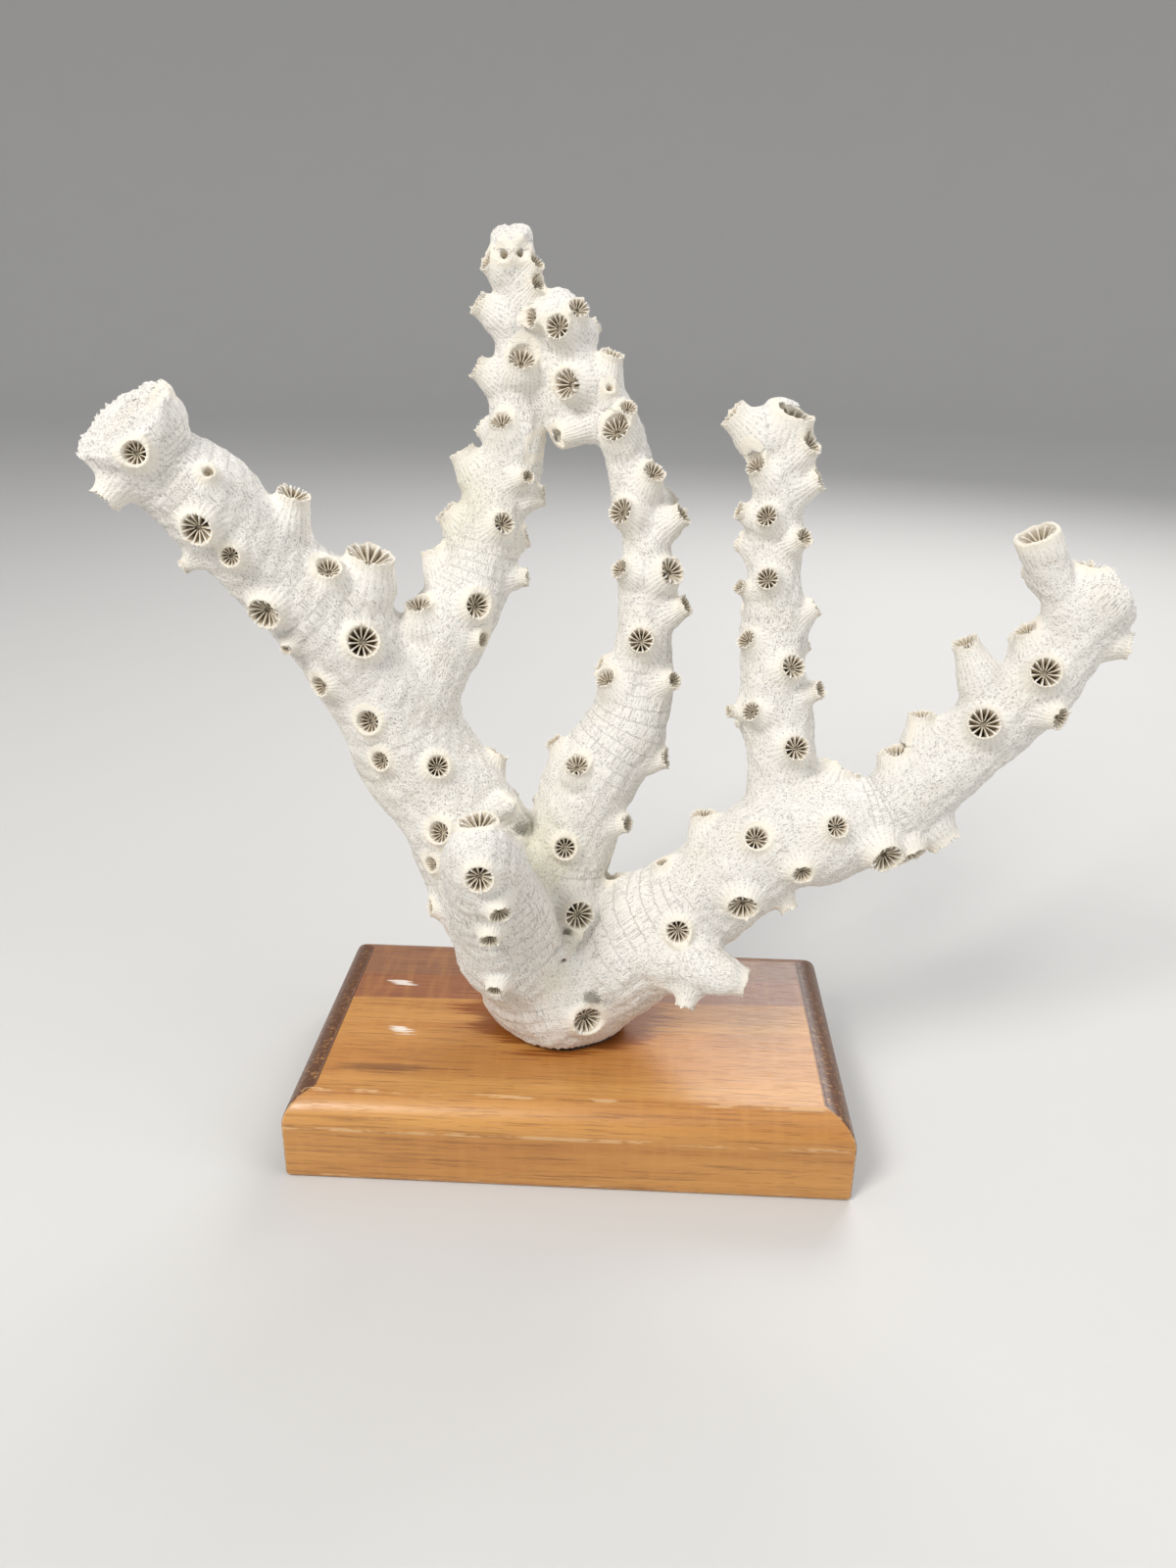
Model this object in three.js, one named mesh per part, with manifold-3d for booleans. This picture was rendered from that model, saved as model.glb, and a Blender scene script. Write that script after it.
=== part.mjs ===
// A dried tree coral standing on a small hardwood block.
//
// Millimetres, +Z up. The origin is the centre of the block's underside, +X runs along the block
// and -Y is the front. The coral is one grown piece, split at its main forks into limbs. Each limb
// is a round, tapering shaft bent along a smooth line, with the cup-shaped seats of the coral's
// animals (corallites) standing out of it.

import * as THREE from "three";
import { mergeVertices } from "three/addons/utils/BufferGeometryUtils.js";
import Module from "manifold-3d";

const wasm = await Module();
wasm.setup();

// The block: planed board, with the four top edges rounded over and the lower edges just eased.
const BLOCK_LENGTH = 152;
const BLOCK_DEPTH = 88.5;
const BLOCK_HEIGHT = 24.5;
const ROUNDOVER = 8;
const ROUNDOVER_STEPS = 6;
const EASED_EDGE = 0.8;

// The bed of set glue between the block and the coral's sawn foot.
const JOINT_GAP = 0.3;
const GLUE_THICKNESS = 0.6;
const GLUE_CENTRE = [-3, 2];
const GLUE_RADIUS = 12.8;
const GLUE_SIDES = 24;
const GLUE_BOTTOM = BLOCK_HEIGHT + JOINT_GAP;
const FOOT_HEIGHT = GLUE_BOTTOM + GLUE_THICKNESS + JOINT_GAP;

// The limbs.
const LIMB_SIDES = 9;
const RING_SPACING = 11;
const LIMB_CLEARANCE = 0.45;
const TIP_STEPS = 3;

// The cups. A cup's wall tapers from its root to its rim, and the calice is a shallow cone in it.
const CUP_SIDES = 5;
const CUP_ROOT = 4;
const CUP_FLARE = 1.18;
const CALICE_DEPTH = 2.2;
const USUAL_LEAN = 25;
const SMALLEST_CUP = 2.8;
const ENDS_LIMB_LEAN = 60;
const ROOT_SINK = 1.2;

// Cups on the far side follow one rule: evenly spaced along the limb, and swung to and fro
// about the limb's back by the golden ratio, so that no two stand in line.
const BACK_SPACING = 18;
const BACK_SWING = 55;
const BACK_RADIUS = 2.7;
const GOLDEN = 0.618034;

const CORAL_WHITE = 0xe4e0d6;
const BLOCK_BROWN = 0x9c6530;
const GLUE_BROWN = 0x2c1c10;

// Each limb: its line as [x, y, z, radius] points, how far its cups usually stand out, and its
// cups as [distance along the limb, bearing, rim radius, lean, reach]. The bearing is in degrees
// about the limb, 0 at the front and +90 on the side of +X. The lean is in degrees, 0 square to
// the limb and 90 along it. Without a lean or a reach a cup has the usual one.
const LIMBS = [
  {
    name: "trunk",
    reach: 2.2,
    line: [
      [-3, 3.5, 25, 12.4], [-3, 3, 29, 15.8], [-5, -0.5, 36, 19.8], [-8, -1, 46, 21.5],
      [-10, 1, 58, 19],
    ],
    cups: [[14, 25, 4.6, 5]],
  },
  {
    name: "left_limb",
    reach: 2.2,
    line: [
      [-10, 0, 46, 18], [-22.5, 0, 66.5, 18], [-32.5, 3, 87, 16.3], [-44.5, 4, 105, 16],
      [-51.5, 3, 122.5, 14.6],
    ],
    cups: [
      [28, -60, 2.7, 30, 3], [40, -30, 2.6, 30, 2], [46, 65, 2.6, 20, 3], [49, -5, 3.4, 30],
      [54, 105, 3, 30, 4], [66, 30, 3.4, 15], [75, -15, 3], [86, -10, 3.5], [86, 65, 3.1, 30],
    ],
  },
  {
    name: "left_arm",
    reach: 3,
    line: [
      [-51.5, 3, 122.5, 14.6], [-63, -2, 143, 14], [-77, -9, 160, 12.1], [-88.5, -16, 176.5, 12],
      [-96, -20.5, 184.5, 10], [-102, -23, 194, 12.8],
    ],
    cups: [
      [14, -35, 3, 30], [20, 30, 4.4, 20], [27, 92, 6.3, 38, 9], [31, -35, 1.7, 10],
      [36, 60, 3.4, 40, 3], [42, -20, 4.4, 10], [52, 92, 4.2, 35, 8], [57, 0, 2.8, 20],
      [59, -70, 2, 10, 4], [67, -5, 4, 15], [72, 45, 1.8, 40], [81, 105, 2.6, 60, 8],
      [83, -60, 3.8, -10, 5], [87, 10, 3.3, 20, 1.5],
    ],
  },
  {
    name: "right_limb",
    reach: 2.4,
    line: [
      [1, -3, 40, 18], [19, -6, 57, 16.7], [35, -9, 71.7, 14.2], [50.5, -11, 88.5, 13.8],
      [65, -10, 93, 13.4],
    ],
    cups: [
      [24, -115, 3, 40, 3], [41, -10, 3.6, 15], [44, -85, 2.1, 30, 3], [59, 10, 4.4, -10, 3],
      [60, -100, 3.4, 40, 6], [64, 65, 2.6, -10, 4], [70, -35, 3.5], [76, 15, 3.1, 0],
    ],
  },
  {
    name: "crown_branch",
    reach: 4.6,
    line: [
      [-43.5, 4, 122.5, 10.7], [-36, 8, 139.5, 11], [-29, 12, 152, 10.2], [-25, 16, 168, 8.7],
      [-19, 20, 184, 8.2], [-18, 22, 201, 6.3], [-18, 22, 216, 5], [-19, 20, 234, 4.8],
    ],
    cups: [
      [18, -40, 3.6, 50, 6], [21, 55, 2.6, 20, 2], [28, 20, 3.8, 20, 2], [32, -85, 3.1, 45, 6],
      [37, 85, 2.6, 20], [46, 85, 2.8, 30, 4], [47, -70, 3.3, 30], [48, 25, 3.1], [59, 80, 2.8, 30, 5],
      [59, -80, 3.6, 35, 7], [62, 30, 2, 20], [72, -20, 3.2, 50], [74, 80, 3], [86, -75, 3.2, 30, 6],
      [86, 95, 3, 30, 4], [88, 15, 3.8, 50], [101, -75, 3.2, 35, 7], [106, 60, 2.3, 40],
      [112, -65, 2.6, 40, 4], [111, 65, 2.5, 40], [115, -15, 1.7, 40, 0.8], [115, 30, 1.6, 40, 0.8],
      [117, 8, 1.6, 60, 0.8],
    ],
  },
  {
    name: "middle_branch",
    reach: 4.6,
    line: [
      [-7, 2, 59, 15], [-3.5, 4, 78, 12.5], [3, 6, 98, 12.5], [13, 8, 115, 10.8], [16, 10, 134, 8.2],
      [17, 12, 153, 6.9], [14, 15, 173, 6.2], [7.5, 18, 191.5, 5.8], [-1.5, 20, 205, 5.6],
      [-6.5, 20, 218, 5],
    ],
    cups: [
      [7.5, 18, 4.2, 10, 9], [24, -5, 3.5, 15, 2], [33, 60, 2.7], [43, -30, 3.4, 45], [44, -80, 2.6],
      [55, 70, 2.9, 40, 5], [70, -50, 3.1, 40], [73, 50, 2.6], [75, -75, 2.6, 20, 3], [83, -5, 3.5],
      [91, 68, 2.9, 30, 5.5], [100, 40, 3.8], [101, -45, 2.8], [112, 75, 3.3, 25, 6], [116, -30, 3.6],
      [123, 40, 3.2, 30], [135, 0, 3.9, 40], [139, 35, 2.5, 30], [142, -80, 2.6, 10, 8],
      [146, 30, 1.5, 20, 2], [152, -30, 4], [150, 70, 3.2, 35, 6], [165, -10, 3.3], [167, 35, 2.9, 30],
      [169, -50, 2.7, 20, 5],
    ],
  },
  {
    name: "crown_bridge",
    reach: 2,
    line: [[-4.5, 20, 190.5, 5], [-7.5, 21, 200, 5.5], [-11, 21, 212, 4]],
    cups: [],
  },
  {
    name: "right_upright",
    reach: 4.6,
    line: [
      [56, -8, 93, 10.4], [54, -4, 108, 9.2], [50.3, 0, 129, 8.8], [49.4, 3, 149, 7.6],
      [48.5, 5, 168, 6.3], [48.5, 6, 182, 6.2], [48, 6, 193, 6],
    ],
    cups: [
      [21, 15, 3.4, 15], [31, -35, 2.7], [32, -70, 1.8, 10], [35, 60, 2.6, 10], [42, 20, 3.3, 20],
      [48, -45, 2.7, 30], [55, 80, 2.7, 35, 5], [62, -60, 2, 20], [64, -15, 3], [74, 40, 2.6, 20],
      [79, -20, 2.9], [80, -75, 2.4, 20], [87, 75, 3.2, 30, 5.5], [90, -50, 2.9, 40], [95, 60, 3.3, 40],
      [99, -88, 4, 42, 9.5], [100, 70, 5.4, 72, 5],
    ],
  },
  {
    name: "right_arm",
    reach: 3.8,
    line: [
      [65, -10, 93, 13.4], [81, -9, 97.5, 11], [92, -8, 109, 10.2], [103, -7, 120, 10.2],
      [116.5, -7, 136, 9.4], [124, -7, 150, 9.3], [127, -8, 155, 9],
    ],
    cups: [
      [1, -25, 3.1, 15], [4, -110, 5, 40, 5], [12, 20, 4.4, 10], [17, 50, 4.2, 0, 2.4],
      [23, 80, 4.8, -10, 5], [29, -95, 3.9, 45, 3], [36, -95, 3.5, 40, 7], [50, -30, 4.2, 15],
      [57, -90, 3.5, 20, 13], [63, 30, 3.1, 20, 4], [69, -25, 4, 20], [74, -90, 3.2, 30, 4],
      [83.5, 75, 3.4, 20, 4], [90, -120, 5.4, 60, 6.5],
    ],
  },
  {
    name: "right_finger",
    reach: 4,
    line: [[119, -8, 153, 5.6], [112.5, -9, 163, 4.9], [109, -10, 169, 4.6]],
    cups: [[18, 120, 4.9, 88, 3]],
  },
  {
    name: "front_knob",
    reach: 3,
    line: [[-17, -12, 55, 15.4], [-20, -27, 79, 12.4], [-21, -36.5, 91, 10.2], [-21.5, -40.5, 98, 7.8]],
    cups: [
      [8, -10, 2.8, 0], [32, 0, 2.9, 10], [43, 20, 3.1, 10], [52, 5, 3.8, 30], [50, 180, 5, 72, 7.5],
    ],
  },
  {
    name: "lower_spur",
    reach: 4,
    line: [[28, -16, 57, 10.6], [35, -24, 57.5, 7], [41, -28, 58, 4.8]],
    cups: [[9, 54, 2.8, 10, 4], [16, 138, 4, 70, 6]],
  },
];

const FRONT = new THREE.Vector3(0, -1, 0);
const radians = THREE.MathUtils.degToRad;

// ---------------------------------------------------------------- solids

function weldedGeometry(geometry) {
  geometry.deleteAttribute("normal");
  geometry.deleteAttribute("uv");
  return mergeVertices(geometry, 1e-4);
}

function toSolid(geometry) {
  const welded = weldedGeometry(geometry);
  const corners = welded.index.array;
  const triangles = [];
  for (let i = 0; i < corners.length; i += 3) {
    const [a, b, c] = [corners[i], corners[i + 1], corners[i + 2]];
    if (a !== b && b !== c && c !== a) triangles.push(a, b, c);
  }
  return new wasm.Manifold(new wasm.Mesh({
    numProp: 3,
    vertProperties: new Float32Array(welded.attributes.position.array),
    triVerts: new Uint32Array(triangles),
  }));
}

function toGeometry(solid) {
  const mesh = solid.getMesh();
  const geometry = new THREE.BufferGeometry();
  geometry.setAttribute("position", new THREE.BufferAttribute(mesh.vertProperties, 3));
  geometry.setIndex(new THREE.BufferAttribute(mesh.triVerts, 1));
  geometry.computeVertexNormals();
  return geometry;
}

function largestBody(solid) {
  const bodies = solid.decompose();
  return bodies.reduce((best, body) => (body.volume() > best.volume() ? body : best));
}

// ---------------------------------------------------------------- limbs

// A limb's axis, its radius and the three directions (along, front, side) at a distance along it.
function makeLimb(spec) {
  const points = spec.line.map(([x, y, z]) => new THREE.Vector3(x, y, z));
  const radii = spec.line.map(([, , , radius]) => new THREE.Vector3(radius, 0, 0));
  const axis = new THREE.CatmullRomCurve3(points, false, "catmullrom", 0.5);
  const thickness = new THREE.CatmullRomCurve3(radii, false, "catmullrom", 0.5);
  const length = axis.getLength();
  const at = (distance) => {
    const u = THREE.MathUtils.clamp(distance / length, 0, 1);
    const along = axis.getTangentAt(u);
    const front = FRONT.clone().addScaledVector(along, -FRONT.dot(along)).normalize();
    const side = new THREE.Vector3().crossVectors(along, front);
    return { centre: axis.getPointAt(u), radius: thickness.getPoint(axis.getUtoTmapping(u)).x, along, front, side };
  };
  return { ...spec, length, at };
}

function outward(place, bearing) {
  const angle = radians(bearing);
  return place.front.clone().multiplyScalar(Math.cos(angle)).addScaledVector(place.side, Math.sin(angle));
}

// Distances of the shaft's rings: even along the limb, then closing in over the rounded tip.
function ringDistances(length, tipLength) {
  const count = Math.max(2, Math.round((length - tipLength) / RING_SPACING));
  const rings = [];
  for (let i = 0; i <= count; i++) rings.push(((length - tipLength) * i) / count);
  for (let i = 1; i <= TIP_STEPS; i++) {
    rings.push(length - tipLength + tipLength * Math.sin((Math.PI / 2) * (i / TIP_STEPS)));
  }
  return rings;
}

// The shaft is a unit cylinder bent along the limb's axis. "grow" makes it fatter all round.
function shaftSolid(limb, grow) {
  const tipLength = limb.at(limb.length).radius * 0.6;
  const rings = ringDistances(limb.length, tipLength);
  const geometry = new THREE.CylinderGeometry(1, 1, rings.length - 1, LIMB_SIDES, rings.length - 1);
  const position = geometry.attributes.position;
  for (let i = 0; i < position.count; i++) {
    const ring = Math.round(position.getY(i) + (rings.length - 1) / 2);
    const place = limb.at(rings[ring]);
    const intoTip = Math.max(0, rings[ring] - (limb.length - tipLength)) / tipLength;
    const radius = place.radius * Math.sqrt(1 - 0.75 * intoTip * intoTip) + grow;
    const point = place.centre.clone()
      .addScaledVector(place.front, position.getZ(i) * radius)
      .addScaledVector(place.side, position.getX(i) * radius);
    if (ring === rings.length - 1) point.addScaledVector(place.along, grow);
    position.setXYZ(i, point.x, point.y, point.z);
  }
  return toSolid(geometry);
}

// A cup is a turned shape: out along its wall, over the rim, and down into the cone of the calice.
function cupSolid(limb, [distance, bearing, radius, lean = USUAL_LEAN, reach = limb.reach], grow) {
  const place = limb.at(distance);
  const out = outward(place, bearing);
  const tilt = radians(lean);
  const direction = out.clone().multiplyScalar(Math.cos(tilt)).addScaledVector(place.along, Math.sin(tilt));
  const sink = place.radius * (1 - Math.cos(tilt));
  const depth = lean >= ENDS_LIMB_LEAN ? sink : Math.min(sink, ROOT_SINK);
  const root = place.centre.clone().addScaledVector(out, place.radius - depth);
  const calice = grow > 0 ? 0 : CALICE_DEPTH;
  const profile = [
    new THREE.Vector2(0, -CUP_ROOT),
    new THREE.Vector2(radius * CUP_FLARE + grow, -CUP_ROOT),
    new THREE.Vector2(radius + grow, reach + grow),
    new THREE.Vector2(0, reach + grow - calice),
  ];
  const geometry = new THREE.LatheGeometry(profile, CUP_SIDES);
  const turn = new THREE.Quaternion().setFromUnitVectors(new THREE.Vector3(0, 1, 0), direction);
  geometry.applyQuaternion(turn);
  geometry.translate(root.x, root.y, root.z);
  return toSolid(geometry);
}

function backCups(limb) {
  const cups = [];
  for (let i = 0; BACK_SPACING * (i + 1) < limb.length - BACK_SPACING / 2; i++) {
    const swing = 2 * ((i * GOLDEN) % 1) - 1;
    cups.push([BACK_SPACING * (i + 1), 180 + BACK_SWING * swing, BACK_RADIUS]);
  }
  return cups;
}

function limbSolid(limb, grow) {
  const cups = limb.cups.filter(([, , radius]) => radius >= SMALLEST_CUP);
  let solid = shaftSolid(limb, grow);
  for (const cup of [...cups, ...backCups(limb)]) solid = solid.add(cupSolid(limb, cup, grow));
  return solid;
}

// ---------------------------------------------------------------- block and glue

// Square loops stacked up the block: eased foot, straight side, then the roundover. The corners
// of a four-sided cylinder are the loops' corners, so the roundovers meet in clean mitres.
function blockGeometry() {
  const loops = [[0, EASED_EDGE], [EASED_EDGE, 0]];
  for (let i = 0; i <= ROUNDOVER_STEPS; i++) {
    const angle = (Math.PI / 2) * (i / ROUNDOVER_STEPS);
    loops.push([BLOCK_HEIGHT - ROUNDOVER + ROUNDOVER * Math.sin(angle), ROUNDOVER * (1 - Math.cos(angle))]);
  }
  const geometry = new THREE.CylinderGeometry(1, 1, loops.length - 1, 4, loops.length - 1, false, Math.PI / 4);
  geometry.rotateX(Math.PI / 2);
  const position = geometry.attributes.position;
  for (let i = 0; i < position.count; i++) {
    const [height, inset] = loops[Math.round(position.getZ(i) + (loops.length - 1) / 2)];
    const x = Math.sign(Math.round(position.getX(i) * 10)) * (BLOCK_LENGTH / 2 - inset);
    const y = Math.sign(Math.round(position.getY(i) * 10)) * (BLOCK_DEPTH / 2 - inset);
    position.setXYZ(i, x, y, height);
  }
  return weldedGeometry(geometry);
}

// The glue spread unevenly before it set, so its outline swells and shrinks round the foot.
function glueGeometry() {
  const outline = new THREE.Shape();
  for (let i = 0; i < GLUE_SIDES; i++) {
    const angle = (2 * Math.PI * i) / GLUE_SIDES;
    const radius = GLUE_RADIUS * (1 + 0.04 * Math.sin(3 * angle + 0.6) + 0.03 * Math.sin(5 * angle));
    const point = [GLUE_CENTRE[0] + radius * Math.cos(angle), GLUE_CENTRE[1] + radius * Math.sin(angle)];
    if (i === 0) outline.moveTo(...point);
    else outline.lineTo(...point);
  }
  const geometry = new THREE.ExtrudeGeometry(outline, { depth: GLUE_THICKNESS, bevelEnabled: false });
  geometry.translate(0, 0, GLUE_BOTTOM);
  return geometry;
}

// Everything below the coral's sawn foot.
function sawnAway() {
  const slab = new THREE.BoxGeometry(BLOCK_LENGTH, BLOCK_DEPTH, FOOT_HEIGHT);
  slab.translate(0, 0, FOOT_HEIGHT / 2);
  return toSolid(slab);
}

// ---------------------------------------------------------------- assembly

function addPiece(group, name, geometry, color, roughness) {
  const material = new THREE.MeshStandardMaterial({ color, roughness, metalness: 0 });
  const mesh = new THREE.Mesh(geometry, material);
  mesh.name = name;
  group.add(mesh);
}

const coralOnBlock = new THREE.Group();
addPiece(coralOnBlock, "wood_block", blockGeometry(), BLOCK_BROWN, 0.45);
addPiece(coralOnBlock, "glue_bed", glueGeometry(), GLUE_BROWN, 0.3);

// Each limb gives way to the ones before it, with a narrow gap all round the break between them.
let taken = sawnAway();
for (const spec of LIMBS) {
  const limb = makeLimb(spec);
  const body = largestBody(limbSolid(limb, 0).subtract(taken));
  addPiece(coralOnBlock, limb.name, toGeometry(body), CORAL_WHITE, 0.85);
  taken = taken.add(limbSolid(limb, LIMB_CLEARANCE));
}

export default coralOnBlock;
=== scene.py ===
# %% [markdown]
# # A tree coral on a wooden block
#
# The object is the dried skeleton of a branching coral. It was sawn off flat at its foot and glued
# to a small varnished block of hardwood. The skeleton is one grown piece: round limbs that fork,
# bend and sometimes meet again, with the seats of the coral's animals standing out of them as
# small cups. A naturalist calls a cup a corallite, its hollow a calice, and the thin walls that
# stand in the hollow like the spokes of a wheel septa.
#
# The script is read from top to bottom like a notebook. Lengths are in millimetres until a mesh is
# made, because that is how a coral or a block is measured, and in metres in the finished meshes.

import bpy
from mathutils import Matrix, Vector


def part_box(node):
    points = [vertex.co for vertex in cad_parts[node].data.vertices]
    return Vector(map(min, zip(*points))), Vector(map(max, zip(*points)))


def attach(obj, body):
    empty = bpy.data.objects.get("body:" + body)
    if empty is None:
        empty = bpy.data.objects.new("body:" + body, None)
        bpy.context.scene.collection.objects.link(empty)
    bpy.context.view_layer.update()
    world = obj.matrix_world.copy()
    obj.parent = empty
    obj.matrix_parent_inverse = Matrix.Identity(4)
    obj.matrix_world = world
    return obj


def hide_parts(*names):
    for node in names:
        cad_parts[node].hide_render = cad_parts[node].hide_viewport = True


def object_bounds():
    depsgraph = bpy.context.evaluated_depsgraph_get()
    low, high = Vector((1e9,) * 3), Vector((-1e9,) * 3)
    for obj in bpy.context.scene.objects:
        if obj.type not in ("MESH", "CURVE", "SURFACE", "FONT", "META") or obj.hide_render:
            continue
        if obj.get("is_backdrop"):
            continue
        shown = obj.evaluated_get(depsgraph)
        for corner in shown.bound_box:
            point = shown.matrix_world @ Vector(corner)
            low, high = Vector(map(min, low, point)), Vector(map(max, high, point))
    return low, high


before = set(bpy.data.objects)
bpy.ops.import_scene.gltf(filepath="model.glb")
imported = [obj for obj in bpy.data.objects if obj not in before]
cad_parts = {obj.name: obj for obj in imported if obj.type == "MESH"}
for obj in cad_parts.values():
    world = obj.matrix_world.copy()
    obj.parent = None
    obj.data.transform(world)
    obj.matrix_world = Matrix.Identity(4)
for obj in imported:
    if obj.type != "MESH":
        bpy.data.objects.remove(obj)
size_of_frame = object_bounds()
print("frame runs from", size_of_frame[0], "to", size_of_frame[1])

# %% Imports and units
import math

import bmesh
import bpy
import numpy as np
import openvdb
from mathutils import Matrix, Vector

MM = 0.001
GOLDEN = 0.618034
scene = bpy.context.scene
print("working in millimetres,", round(1 / MM), "to the metre")


def node_box(name):
    """A frame node's lowest and highest corners, in millimetres."""
    return [np.array(corner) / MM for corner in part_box(name)]


# %% [markdown]
# ## The limbs
#
# A limb is a line with a thickness. The line's points are the ones that the frame's solids were
# bent along, so the fine surface grows round the same axes as the solids that carry the weight.
# Between the points the line is a Catmull-Rom curve, which passes through each of them smoothly. A
# Blender curve object could hold it too, but the distances to it are needed as numbers below.
#
# Each row of cups says where a cup stands: how far along the limb, its bearing about the limb in
# degrees (0 at the front, 90 on the side of +X), the radius of its rim, how far it leans towards
# the limb's tip, and how far it reaches out of the limb.

# %% Limb lines and cups
USUAL_LEAN = 25
BACK_SPACING = 9
BACK_SWING = 58
BACK_RADIUS = 3.1

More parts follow.
